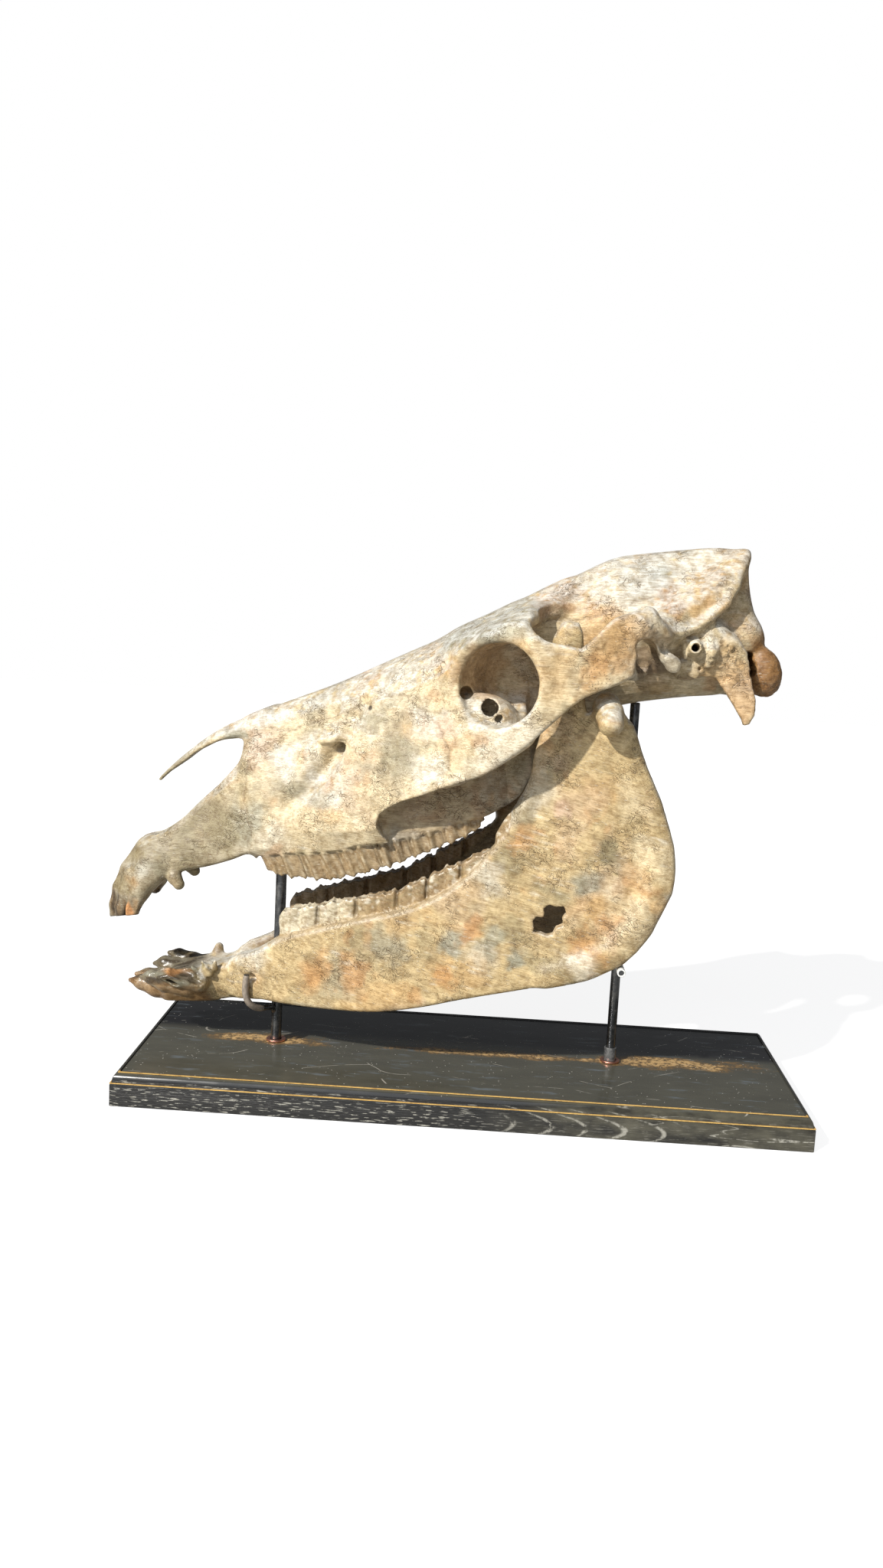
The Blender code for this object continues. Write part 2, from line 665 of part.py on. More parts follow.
def add_back_of_skull(skull):
    shelf = [(314, 60, 142), (324, 54, 144), (336, 47, 148), (349, 43, 154), (362, 37, 164), (372, 29, 175)]
    skull.add(tube(shelf, [5, 8.5, 11, 10, 8, 5]), 12)
    crest = [
        (301, 81, 146), (305, 77, 138), (314, 71, 132), (325, 65, 131), (337, 60, 134),
        (349, 56, 140), (362, 49, 149), (371, 43, 161), (377, 33, 173), (383, 20, 181), (390, 0, 182),
    ]
    skull.add(tube(crest, [3.6, 3.2, 2.8, 2.6, 2.6, 2.6, 2.6, 2.6, 2.8, 3.5, 4]), 9)
    undercut = [(306, 86, 129), (314, 79, 122.5), (325, 73, 121), (337, 69, 124), (348, 66, 130)]
    skull.cut(tube(undercut, [4, 5.5, 6.5, 6, 3]), 2)
    add_ear(skull)
    # the nuchal surface, the foramen magnum and the condyles beside it
    skull.cut(ellipsoid((406, 0, 157), (21, 72, 34)), 8)
    skull.add(ellipsoid((374, 20, 122), (18, 17, 14), -20), 10)
    skull.add(ellipsoid((388.5, 26, 95), (14, 13, 19), 8), 4)
    skull.add(ellipsoid((376, 14, 88), (18, 12, 11)), 6)
    skull.cut(tube([(350, 0, 110), (405, 0, 101)], [12, 17]), 4)
    skull.add(tube([(362, 46, 116), (362, 49, 100), (361, 50, 94)], [9, 7, 4], 0.7), 6)
    jugular = [
        (343, 112), (349, 99), (354, 88), (360, 76.5), (365, 66), (367, 59), (371, 59.5), (376, 66),
        (377.5, 75), (376, 88), (374, 112), (362, 124),
    ]
    blade = plate(jugular, lambda x, z: 47 + 0.06 * (100 - z), lambda x, z: 3.8 + 0 * x, 3)
    skull.add(left_only(blade), 5, paired=False)
    for x, z in ((379, 108), (379.5, 102), (379, 96)):
        skull.cut(left_only(tube([(x, 64, z), (x - 2, 22, z)], [4, 3.6])), 1, paired=False)


def add_ear(skull):
    """The mastoid, the bulge of the drum, and the ear's ring in its rough hollow."""
    skull.add(ellipsoid((347, 46, 117), (19, 12, 20)), 8)
    skull.add(ellipsoid((332, 45, 104), (13, 9, 8)), 4)
    skull.add(tube([(335, 46, 119), (335, 62, 120)], [9, 5.4]), 4)
    skull.add(tube([(346, 50, 123), (347, 57, 115), (344, 56, 107)], [7.5, 5.5, 2.4]), 3)
    skull.add(tube([(328, 50, 108), (335, 53, 99)], [5, 2.6]), 3)
    skull.add(tube([(329, 56, 126), (327.5, 59, 114)], [2.4, 2]), 1.5)
    skull.cut(tube([(335, 46, 119), (335, 74, 120.5)], [2.6, 3.3]), 0.8)
    skull.cut(tube([(321, 70, 128), (323, 64, 119), (324, 58, 110)], [2.4, 3.6, 2.2]), 1.5)
    skull.cut(tube([(341, 68, 109), (338, 52, 104)], [1.8, 1.6]), 1)
    skull.cut(tube([(288, 38, 96), (304, 41, 98), (319, 42, 100)], [2.5, 3.6, 2.5]), 1.5)


def add_underside(skull):
    """The pterygoid plates beside the choana."""
    wing = [(172, 34), (196, 30), (212, 36), (232, 56), (262, 76), (262, 92), (172, 80)]
    skull.add(plate(wing, lambda x, z: 24 - 0.05 * (x - 172), lambda x, z: 2.6 + 0 * x, 2), 5)


def add_nose(skull):
    skull.add(premaxilla(), 9)
    skull.add(nasal_roof(), 5)
    skull.cut(nasal_cavity(), 3)
    add_infraorbital_foramen(skull)


def add_infraorbital_foramen(skull):
    """The nerve's opening under its brow, and the groove that runs down and forward from it."""
    skull.cut(ellipsoid((44, 56, 62), (34, 10, 12), 34), 10)
    skull.cut(ellipsoid((24, 40, 84), (40, 6, 9), 16), 12)
    skull.add(tube([(56, 43, 79), (66, 42, 79), (75, 41, 76)], [2.4, 3.2, 2.4]), 4)
    skull.cut(tube([(38, 54, 44), (50, 50, 55), (61, 46, 66), (69, 43, 72)], [9, 8.4, 6.4, 3.4]), 7)
    skull.cut(tube([(60, 46, 68), (68, 42, 72), (78, 37, 73)], [3.6, 3.8, 3]), 1)
    skull.cut(tube([(76, 50, 84), (83, 49.5, 94), (90, 47, 103)], [3, 4, 3]), 8)


def tooth_row(bone, spans, lean, outer_line, width, cheek_side, tongue_side, low, high):
    for (first, last), slant in zip(spans, lean):
        tooth = tooth_column(
            first, last, outer_line, width, cheek_side, tongue_side, low, high, slant
        )
        bone.add(tooth, 0.6)


def cusps(x):
    """How far the edge of a row of cheek teeth falls short of its points."""
    return 2.2 * np.abs(np.sin(np.pi * x / 9.7)) + 0.9 * np.abs(np.sin(np.pi * x / 3.9 + 0.6))


def biting_edge():
    """Everything under the upper front teeth's level ends."""
    return below(lambda x, side: 0.19 * side - 49, (-150, 0, -70), (-95, 60, -38))


def add_upper_front_teeth(skull):
    """The bone over the roots narrows to the crowns, which curve down to one level edge."""
    for path, radii in (
        ([(-98, 5, 3), (-113, 7, -12), (-123, 7.5, -25), (-129, 7.5, -38)], [11, 9.5, 7.4, 5.2]),
        ([(-94, 14, -3), (-106, 18, -14), (-115, 20, -26), (-121, 20, -37)], [11, 9, 7.2, 4.8]),
        ([(-88, 19, -7), (-96, 23, -17), (-103, 26.5, -27), (-107, 28, -33)], [10, 8.2, 6.8, 5.2]),
    ):
        skull.add(tube(path, radii), 8)
    for path, radii in (
        ([(-123, 7.5, -26), (-129, 7.5, -38), (-132, 7.5, -52)], [6.6, 6, 4.8]),
        ([(-115, 20, -27), (-121, 20.3, -38), (-124, 20, -52)], [6.2, 5.4, 4.4]),
        ([(-103, 27, -27), (-107, 28, -34)], [6.2, 5.2]),
    ):
        skull.add(tube(path, radii), 1.5)
    corner_tooth = tube([(-105, 27.6, -30), (-110, 28.2, -38), (-114, 28, -52)], [5.6, 5.2, 4.6])
    skull.add(left_only(corner_tooth), 1.5, paired=False)
    skull.cut(biting_edge(), 0.8)
    skull.cut(left_only(biting_edge()), 0.8, paired=False)
    skull.cut(left_only(tube([(-108, 36.5, -31), (-114, 37, -50)], [5.2, 5.6])), 0.8, paired=False)
    skull.add(tube([(-77, 22.5, -12), (-75, 24.6, -17.5), (-72, 26, -23)], [4.6, 5.4, 4.5]), 2)


def add_upper_teeth(skull):
    add_upper_front_teeth(skull)
    tooth_row(
        skull, UPPER_TEETH, UPPER_LEAN, UPPER_OUTER, 24, UPPER_CHEEK_FOLDS, UPPER_TONGUE_FOLDS,
        lambda x, side: UPPER_TIPS(x) + cusps(x) - 0.8,
        lambda x, side: GUM(x) + 2.2 + 0.9 * np.sin(x / 1.7),
    )


def break_left_orbit_floor(skull):
    for centre, radii in (
        ((167, 66, 105), (6, 12, 5)),
        ((183, 66, 91), (8, 14, 8)),
        ((188, 66, 84), (7, 12, 7)),
        ((178, 54, 90), (17, 10, 12)),
    ):
        skull.cut(left_only(ellipsoid(centre, radii)), 0.8, paired=False)


def cranium_sculpture():
    skull = Sculpture()
    skull.add(face(), 0)
    skull.cut(below_gum(), 1)
    skull.cut(cheek_hollow(), 1.5)
    cut_eye_and_temple_spaces(skull)
    skull.add(braincase(), 10)
    add_orbit(skull)
    add_jaw_joint(skull)
    add_back_of_skull(skull)
    add_underside(skull)
    add_nose(skull)
    add_upper_teeth(skull)
    break_left_orbit_floor(skull)
    return skull


# ------------------------------------------------------------------ mandible
# Its frame is the ground's, in millimetres: x runs back and z up from the base's underside.

JAW_MIDDLE = curve(
    (-200, 13), (-170, 21), (-140, 29.5), (-100, 37), (-50, 45.5), (0, 54), (40, 60.5), (90, 66),
    (150, 67),
)
JAW_HALF = curve(
    (-200, 8), (-170, 9), (-140, 11), (-60, 12.5), (-10, 12), (25, 8), (50, 5), (150, 4.5)
)
LOWER_TIPS = curve(
    (-152, 132), (-146, 141), (-133, 145.5), (-115, 150.5), (-90, 157), (-72, 162), (-58, 166),
    (-35, 178.5), (-15, 189.5), (4, 200), (14, 204.5), (23, 207),
)
LOWER_TEETH = [(-148, -117), (-117.4, -87), (-87.4, -56), (-56.4, -33.5), (-34, -8.5), (-9, 23)]
LOWER_CHEEK_FOLDS = [
    (0.0, -2.6), (0.09, -0.4), (0.28, 0.5), (0.45, -0.3), (0.52, -1.3),
    (0.59, -0.3), (0.75, 0.5), (0.91, -0.4), (1.0, -2.6),
]
LOWER_TONGUE_FOLDS = [
    (0.0, -4), (0.15, 0.3), (0.3, -1), (0.5, 0.5), (0.66, -1.5), (0.85, 0), (1.0, -4),
]


def jaw_middle(x, z):
    """The side distance of the jaw plate's middle, which flares out towards the joint."""
    flare = np.clip((z - 235) / 75, 0, 1) ** 1.5 * np.clip((x - 40) / 50, 0, 1)
    return JAW_MIDDLE(x) + 9 * flare


def jaw_half(x, z):
    return JAW_HALF(x) - 1.5 * np.clip((110 - z) / 40, 0, 1) * (x < 0)


def along_jaw(path, offset=0.0):
    """Side-view points (x, z) placed in the middle of the jaw plate."""
    return [(x, float(jaw_middle(x, z)) + offset, z) for x, z in path]


def jaw_plate():
    outline = [
        (-186, 67), (-160, 67), (-110, 67), (-66, 70), (-35, 77), (0, 88), (45, 99), (85, 109),
        (106, 119), (124, 134), (138, 160), (148, 190), (145, 216), (134, 246), (119, 276),
        (109, 302), (103, 309), (90, 309), (76, 310), (74, 330), (71, 354), (66, 373), (55, 373),
        (49, 362), (47, 330), (47, 297), (41, 277), (40, 250), (31, 228), (14, 205), (4, 191.5),
        (-10, 177), (-30, 162.5), (-54, 151), (-84, 142), (-114, 132), (-144, 121), (-164, 107),
        (-186, 96),
    ]
    return plate(outline, jaw_middle, jaw_half, 5, 8)


def jaw_front():
    """The joined front of the jaw, hollow along its top."""
    top = curve((-262, 72), (-250, 78), (-240, 84), (-225, 90), (-203, 94), (-183, 97), (-160, 98))
    low = curve((-262, 64), (-252, 60), (-239, 56), (-208, 56.5), (-186, 61), (-160, 66))
    half = curve((-262, 14), (-246, 22), (-234, 25.5), (-218, 26), (-200, 21.5), (-185, 21), (-160, 30))
    section = [
        midline(lambda x: top(x) - 5),
        (lambda x: 0.75 * half(x), lambda x: top(x) + 1),
        (half, lambda x: 0.22 * low(x) + 0.78 * top(x)),
        (lambda x: 0.85 * half(x), lambda x: 0.8 * low(x) + 0.2 * top(x)),
        (lambda x: 0.4 * half(x), low),
        midline(low),
    ]
    return loft(section, (-247, -164), (50, 106), 36, 3.5, 10)


def add_jaw_margins(jaw):
    """The thick borders behind and in front of the ramus, and the condyle's bar."""
    rim = [
        (60, 111), (86, 121.5), (107, 134), (124, 155), (135, 182), (133, 212), (123, 244),
        (109, 274), (98, 296),
    ]
    jaw.add(tube(along_jaw(rim), [4, 5.5, 6.5, 7, 7, 6.5, 6, 6, 7]), 12)
    front = [(20, 215), (36, 240), (47, 262), (53, 300), (58, 340), (61, 366)]
    jaw.add(tube(along_jaw(front), [4, 5, 5, 5, 4.6, 4.5]), 8)
    jaw.add(tube([(90, 56, 314), (90, 70, 315), (91, 82, 311), (92, 92, 304)], [8, 9.5, 10, 9]), 6)


def lower_grinding_surface(x, side):
    """Pointed at its edges, and worn down between them."""
    across = np.clip((side - JAW_MIDDLE(x) + 2.2) / 7.7, -1, 1)
    return LOWER_TIPS(x) + 1 - cusps(x) - 2.2 * (1 - across**2)


def add_lower_teeth(jaw):
    tooth_row(
        jaw, LOWER_TEETH, [0.0] * 6, lambda x: JAW_MIDDLE(x) + 5.5, 15.5, LOWER_CHEEK_FOLDS,
        LOWER_TONGUE_FOLDS, lambda x, side: LOWER_TIPS(x) - 45, lower_grinding_surface,
    )
    for path, radii in (
        ([(-232, 9, 66.5), (-248, 9.5, 67), (-261, 9, 69), (-270.5, 8.5, 70)], [10.5, 9.3, 6.2, 1.8]),
        ([(-222, 17, 71), (-240, 19, 74), (-250, 20, 77), (-258.5, 19.5, 76.5)], [9, 8, 6, 1.8]),
        ([(-212, 21, 76), (-228, 24.5, 79), (-240, 26.5, 83), (-248, 26, 84.5)], [8.5, 7.4, 5.2, 1.8]),
    ):
        jaw.add(tube(path, radii), 1)
    jaw.cut(ellipsoid((-238, 0, 95), (22, 12, 14)), 3)
    jaw.add(tube([(-206, 19, 86), (-205, 19.5, 94)], [6, 3.4]), 3)


def break_left_front_of_jaw(jaw):
    """The left corner tooth is broken down to its hollow root, and the canine to a rough stump."""
    for centre, radii, tilt in (
        ((-246, 30, 91), (20, 9, 10.5), 6),
        ((-224, 27, 84), (12, 8, 4.2), -12),
        ((-214, 27, 78.5), (7, 5, 2.6), -20),
        ((-231, 29, 77), (6, 4, 1.8), -24),
        ((-204, 21, 101), (9, 10, 10), 0),
    ):
        jaw.cut(left_only(ellipsoid(centre, radii, tilt)), 0.6, paired=False)
    for root, tip in (
        ((-206, 22, 87), (-209, 23.5, 93)),
        ((-200, 22, 88), (-199, 23, 94)),
        ((-213, 22, 84), (-217, 24, 88.5)),
        ((-203, 24, 84), (-205, 26, 89)),
    ):
        jaw.add(left_only(tube([root, tip], [2.8, 1.3])), 1, paired=False)


def break_left_side_of_jaw(jaw):
    """The jagged double hole through the left ramus, and the breaks at the front."""
    hole = [
        (46.5, 152), (49, 156), (54, 155.5), (55, 159), (54, 162.5), (58, 166), (63, 164.5), (69, 165.5),
        (71, 160), (68.5, 155.5), (69.5, 151), (64, 148.5), (62, 143.5), (58, 142), (53, 143.5),
        (47.5, 144), (48, 148),
    ]
    through = plate(hole, lambda x, z: 65 + 0 * x, lambda x, z: 25 + 0 * x, 0.5, 3)
    jaw.cut(left_only(through), 0.5, paired=False)
    break_left_front_of_jaw(jaw)


def mandible_sculpture():
    jaw = Sculpture()
    jaw.add(jaw_plate(), 0)
    jaw.add(jaw_front(), 9)
    add_jaw_margins(jaw)
    add_lower_teeth(jaw)
    jaw.cut(tube([(-176, 34, 84), (-166, 27, 84)], [4, 3]), 3)
    break_left_side_of_jaw(jaw)
    return jaw


# ------------------------------------------------------------------ objects


def clear_scene():
    for obj in list(bpy.data.objects):
        bpy.data.objects.remove(obj, do_unlink=True)


def material(name, colour, roughness, metallic=0.0):
    made = bpy.data.materials.new(name)
    made.use_nodes = True
    shader = made.node_tree.nodes["Principled BSDF"]
    shader.inputs["Base Color"].default_value = (*colour, 1)
    shader.inputs["Roughness"].default_value = roughness
    shader.inputs["Metallic"].default_value = metallic
    return made


def new_object(name, mesh, surface_material, smooth=True):
    obj = bpy.data.objects.new(name, mesh)
    bpy.context.scene.collection.objects.link(obj)
    mesh.materials.append(surface_material)
    if smooth:
        mesh.shade_smooth()
        mesh.set_sharp_from_angle(angle=0.7)
    return obj


def object_from(shape, name, surface_material, smooth=True):
    """A new object from a bmesh, with its faces turned outwards."""
    bmesh.ops.recalc_face_normals(shape, faces=shape.faces)
    mesh = bpy.data.meshes.new(name)
    shape.to_mesh(mesh)
    shape.free()
    return new_object(name, mesh, surface_material, smooth)


def bone(name, sculpture, low, high, triangles, surface_material):
    """A bone's mesh, thinned out to about the given number of triangles."""
    points, faces = bone_surface(sculpture, low, high, VOXEL)
    mesh = bpy.data.meshes.new(name)
    mesh.from_pydata(points * MM, [], faces.tolist())
    obj = new_object(name, mesh, surface_material)
    thin = obj.modifiers.new("Decimate", "DECIMATE")
    thin.ratio = triangles / (2 * len(faces))
    return obj


def ring_of(shape, centre, across, up, radius, count):
    """A circle of points round centre, in the plane of the vectors across and up."""
    turn = 2 * np.pi * np.arange(count) / count
    return [
        shape.verts.new((centre + radius * (np.cos(a) * across + np.sin(a) * up)) * MM) for a in turn
    ]


def bridge(shape, rings, closed=False):
    """Four-sided faces between each ring of points and the next."""
    following = rings[1:] + rings[:1] if closed else rings[1:]
    for one, other in zip(rings, following):
        for i in range(len(one)):
            j = (i + 1) % len(one)
            shape.faces.new((one[i], one[j], other[j], other[i]))


def bar(name, path, radii, surface_material, segments=20):
    """A round bar along path with a radius at each point, capped at both ends."""
    shape = bmesh.new()
    path = np.asarray(path, float)
    tangents = np.gradient(path, axis=0)
    side = np.array([0.0, 1.0, 0.0])
    if abs(tangents[0][1]) > 0.9 * np.linalg.norm(tangents[0]):
        side = np.array([1.0, 0.0, 0.0])
    rings = []
    for centre, along, radius in zip(path, tangents, radii):
        along = along / np.linalg.norm(along)
        across = side - (side @ along) * along
        across /= np.linalg.norm(across)
        side = across
        rings.append(ring_of(shape, centre, across, np.cross(along, across), radius, segments))
    bridge(shape, rings)
    shape.faces.new(rings[0])
    shape.faces.new(rings[-1])
    return object_from(shape, name, surface_material)


def straight_bar(name, start, end, radius, surface_material, segments=20):
    """A bar with a small chamfer at each end."""
    start, end = np.array(start, float), np.array(end, float)
    step = 0.5 * (end - start) / np.linalg.norm(end - start)
    return bar(
        name, [start, start + step, end - step, end], [radius - 0.5, radius, radius, radius - 0.5],
        surface_material, segments,
    )


def ring(name, start, end, inner, outer, surface_material, segments=24):
    """A plain ring or sleeve with a bore, between two points of its axis."""
    shape = bmesh.new()
    start, end = np.array(start, float), np.array(end, float)
    along = (end - start) / np.linalg.norm(end - start)
    across = np.array([1.0, 0.0, 0.0])
    up = np.cross(along, across)
    corners = ((start, inner), (start, outer), (end, outer), (end, inner))
    rings = [ring_of(shape, centre, across, up, radius, segments) for centre, radius in corners]
    bridge(shape, rings, closed=True)
    return object_from(shape, name, surface_material)


def join_with(obj, other):
    """Makes obj and other one solid. other is kept, hidden, as the modifier's cutter."""
    other.hide_render = True
    other.display_type = "WIRE"
    union = obj.modifiers.new("Union", "BOOLEAN")
    union.operation = "UNION"
    union.solver = "EXACT"
    union.object = other


def loop_at(shape, half_length, half_depth, height):
    corners = ((-1, -1), (1, -1), (1, 1), (-1, 1))
    return [
        shape.verts.new((i * half_length * MM, j * half_depth * MM, height * MM)) for i, j in corners
    ]


def base_board(surface_material):
    """The board's upright faces, and the rounded moulding that steps in to its top."""
    shape = bmesh.new()
    length, depth = BASE_LENGTH / 2, BASE_DEPTH / 2
    rise = BASE_TOP - BASE_FACE
    steps = [(0.0, 0.0), (0.0, BASE_FACE), (1.2, BASE_FACE)]
    for turn in np.linspace(0.2, 1, 5) * np.pi / 2:
        inset = 1.2 + (BASE_INSET - 1.2) * (1 - np.cos(turn))
        steps.append((inset, BASE_FACE + rise * np.sin(turn)))
    loops = [loop_at(shape, length - inset, depth - inset, height) for inset, height in steps]
    bridge(shape, loops)
    shape.faces.new(loops[0])
    shape.faces.new(loops[-1])
    return object_from(shape, "base_board", surface_material, smooth=False)


def gold_line(name, inset, height, surface_material):
    """A thin frame laid on the board, its outer edge inset from the board's outline."""
    shape = bmesh.new()
    length, depth = BASE_LENGTH / 2 - inset, BASE_DEPTH / 2 - inset
    top = height + INLAY_THICKNESS
    loops = [
        loop_at(shape, length, depth, height),
        loop_at(shape, length, depth, top),
        loop_at(shape, length - INLAY, depth - INLAY, top),
        loop_at(shape, length - INLAY, depth - INLAY, height),
    ]
    bridge(shape, loops, closed=True)
    return object_from(shape, name, surface_material, smooth=False)


def front_support(steel, copper, floor):
    """The rod between the two halves of the jaw, and the hook that holds the chin."""
    bottom, top = (FRONT_ROD_X, 0, floor), (FRONT_ROD_X, 0, FRONT_ROD_TOP)
    rod = straight_bar("front_rod", bottom, top, FRONT_ROD_RADIUS, steel, 24)
    arm = [
        (-172, 87.5, 32.4), (-172.5, 80, 32.4), (-172.5, 72.5, 32), (-170.5, 65.5, 30.8),
        (-166.5, 60.5, 27.5), (-161.5, 57.5, 21), (-157.5, 56, 13.5), (-155.5, 53.5, 6), (-154.5, 50, 2.5),
    ]
    for side, name in ((-1, "left"), (1, "right")):
        path = [(x, side * y, z) for x, z, y in arm]
        radii = [CRADLE_RADIUS - 0.6] + [CRADLE_RADIUS] * (len(path) - 1)
        join_with(rod, bar("hook_" + name, path, radii, steel, 16))
    foot = (FRONT_ROD_X, 0, floor)
    head = (FRONT_ROD_X, 0, floor + COLLAR_HEIGHT)
    ring("front_collar", foot, head, FRONT_ROD_RADIUS + GAP, COLLAR_RADIUS, copper)


def rear_support(steel, copper, clear, floor):
    """The rod up to the base of the braincase, with the bar that the jaw's angles rest on."""
    path = [(REAR_ROD_X, 0, z) for z in (
        floor, floor + 0.5, floor + FERRULE_HEIGHT - 0.6, floor + FERRULE_HEIGHT,
        REAR_ROD_TOP - 0.5, REAR_ROD_TOP,
    )]
    radii = [
        FERRULE_RADIUS - 0.5, FERRULE_RADIUS, FERRULE_RADIUS, REAR_ROD_RADIUS,
        REAR_ROD_RADIUS, REAR_ROD_RADIUS - 0.5,
    ]
    rod = bar("rear_rod", path, radii, steel, 24)
    end = (CROSSBAR_X, CROSSBAR_REACH, CROSSBAR_Z)
    start = (CROSSBAR_X, -CROSSBAR_REACH, CROSSBAR_Z)
    join_with(rod, straight_bar("crossbar", start, end, CROSSBAR_RADIUS, steel, 16))
    for side, name in ((-1, "left"), (1, "right")):
        inner = (CROSSBAR_X, side * (CROSSBAR_REACH - SLEEVE_LENGTH), CROSSBAR_Z)
        outer = (CROSSBAR_X, side * (CROSSBAR_REACH + 0.4), CROSSBAR_Z)
        ring("sleeve_" + name, inner, outer, CROSSBAR_RADIUS + GAP, SLEEVE_RADIUS, clear)
    foot = (REAR_ROD_X, 0, floor)
    head = (REAR_ROD_X, 0, floor + COLLAR_HEIGHT)
    ring("rear_collar", foot, head, FERRULE_RADIUS + GAP, COLLAR_RADIUS, copper)


def stand(steel, copper, gold, wood, clear):
    base_board(wood)
    gold_line("gold_line_lower", 0.05, BASE_FACE + GAP, gold)
    gold_line("gold_line_upper", BASE_INSET + 0.3, BASE_TOP + GAP, gold)
    front_support(steel, copper, BASE_TOP + GAP)
    rear_support(steel, copper, clear, BASE_TOP + GAP)


def main():
    clear_scene()
    ivory = material("bone", (0.62, 0.5, 0.34), 0.6)
    steel = material("steel", (0.07, 0.075, 0.085), 0.3, 0.8)
    copper = material("copper", (0.72, 0.36, 0.27), 0.35, 0.9)
    gold = material("gold", (0.66, 0.46, 0.2), 0.35, 0.8)
    wood = material("ebonised_wood", (0.02, 0.021, 0.024), 0.28)
    clear = material("sleeve", (0.75, 0.76, 0.76), 0.3)
    box = ((-145, 0, -60), (412, 112, 205))
    skull = bone("cranium", cranium_sculpture(), *box, CRANIUM_TRIANGLES, ivory)
    skull.location = (SKULL_ORIGIN[0] * MM, 0, SKULL_ORIGIN[1] * MM)
    skull.rotation_euler = (0, -np.radians(SKULL_TILT), 0)
    box = ((-290, 0, 40), (165, 112, 390))
    bone("mandible", mandible_sculpture(), *box, MANDIBLE_TRIANGLES, ivory)
    stand(steel, copper, gold, wood, clear)


if __name__ == "__main__":
    main()
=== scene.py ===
"""A horse skull on its display stand, life size, with weathered bone, worn teeth and a polished base.

The two bones are sculpted as distance fields: each feature is a small function that gives the
distance to its surface, in millimetres, and the features are joined and cut with fillets. The
field's zero surface becomes a mesh, which noise, cracks and pits then roughen. The stand is made
of turned, bent and bevelled pieces. Lengths are in millimetres until MM brings them to metres.
"""

from functools import partial, reduce

import bmesh
import bpy
import numpy as np
from mathutils import Matrix, Vector

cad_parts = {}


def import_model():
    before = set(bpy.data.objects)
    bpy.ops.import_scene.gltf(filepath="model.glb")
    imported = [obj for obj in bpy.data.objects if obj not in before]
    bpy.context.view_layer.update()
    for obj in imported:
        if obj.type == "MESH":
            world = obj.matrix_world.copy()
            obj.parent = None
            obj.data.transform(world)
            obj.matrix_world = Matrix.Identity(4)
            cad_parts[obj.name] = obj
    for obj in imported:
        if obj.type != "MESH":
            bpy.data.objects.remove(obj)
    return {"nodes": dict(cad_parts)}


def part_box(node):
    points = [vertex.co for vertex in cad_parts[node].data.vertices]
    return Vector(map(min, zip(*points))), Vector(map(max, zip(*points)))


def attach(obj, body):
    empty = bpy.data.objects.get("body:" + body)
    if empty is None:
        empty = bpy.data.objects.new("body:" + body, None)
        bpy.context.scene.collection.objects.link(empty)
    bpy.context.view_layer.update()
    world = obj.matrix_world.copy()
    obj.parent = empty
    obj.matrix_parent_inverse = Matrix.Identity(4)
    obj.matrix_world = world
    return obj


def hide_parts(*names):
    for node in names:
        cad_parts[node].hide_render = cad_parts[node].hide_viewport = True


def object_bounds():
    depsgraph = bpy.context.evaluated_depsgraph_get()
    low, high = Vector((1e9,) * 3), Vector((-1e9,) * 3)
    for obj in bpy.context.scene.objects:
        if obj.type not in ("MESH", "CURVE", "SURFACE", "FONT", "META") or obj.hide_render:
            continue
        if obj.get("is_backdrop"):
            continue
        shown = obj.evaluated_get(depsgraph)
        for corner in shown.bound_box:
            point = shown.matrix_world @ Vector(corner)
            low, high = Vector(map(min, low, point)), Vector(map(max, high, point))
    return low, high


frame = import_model()

# ------------------------------------------------------------------ driving dimensions, millimetres

SKULL_ORIGIN = (-161.0, 189.0)  # where the cranial frame's origin is in the ground frame, as (x, z)
SKULL_TILT = 9.0  # degrees, nose down
CRANIUM_BOX = ((-145, 0, -60), (412, 112, 205))  # in the cranial frame
MANDIBLE_BOX = ((-290, 0, 40), (165, 112, 390))  # in the ground frame
VOXEL = 1.1  # the spacing of the grid that the bones' fields are read on

BASE_FACE = 17.2  # the height of the board's upright faces
BASE_INSET = 4.8  # how far its moulding steps in on each side
FRONT_ROD_X = -152.5
FRONT_ROD_RADIUS = 4.3
REAR_ROD_X = 118.0
REAR_ROD_RADIUS = 3.7
COLLAR_RADIUS = 7.8
FERRULE_RADIUS = 4.9
FERRULE_HEIGHT = 12.0
CROSSBAR_X = 114.0
CROSSBAR_Z = 118.8
CROSSBAR_RADIUS = 1.7
SLEEVE_RADIUS = 3.1
CRADLE_RADIUS = 2.6  # with its sleeve
SLEEVE_WALL = 0.35
SLEEVED_SHARE = 0.66  # of each arm, from its tip
GAP = 0.3  # between pieces that touch
HOOK_ARM = [  # from the tip to the rod, as (x, z, side)
    (-172, 87.5, 32.4), (-172.5, 80, 32.4), (-172.5, 72.5, 32), (-170.5, 65.5, 30.8),
    (-166.5, 60.5, 27.5), (-161.5, 57.5, 21), (-157.5, 56, 13.5), (-155.5, 53.5, 6), (-154.5, 50, 2.5),
]

MM = 0.001

# ------------------------------------------------------------------ fields
# A field takes points and gives a distance that is negative inside the bone. For a feature that
# both sides have, the points carry the side distance |y| in place of y.


def smooth_union(a, b, blend):
    """Joins two fields with a fillet about as wide as blend."""
    if blend <= 0:
        return np.minimum(a, b)
    h = np.maximum(blend - np.abs(a - b), 0) / blend
    return np.minimum(a, b) - h * h * blend / 4


def smooth_cut(a, b, blend):
    """Takes field b away from field a, with a rounded edge."""
    return -smooth_union(-a, b, blend)


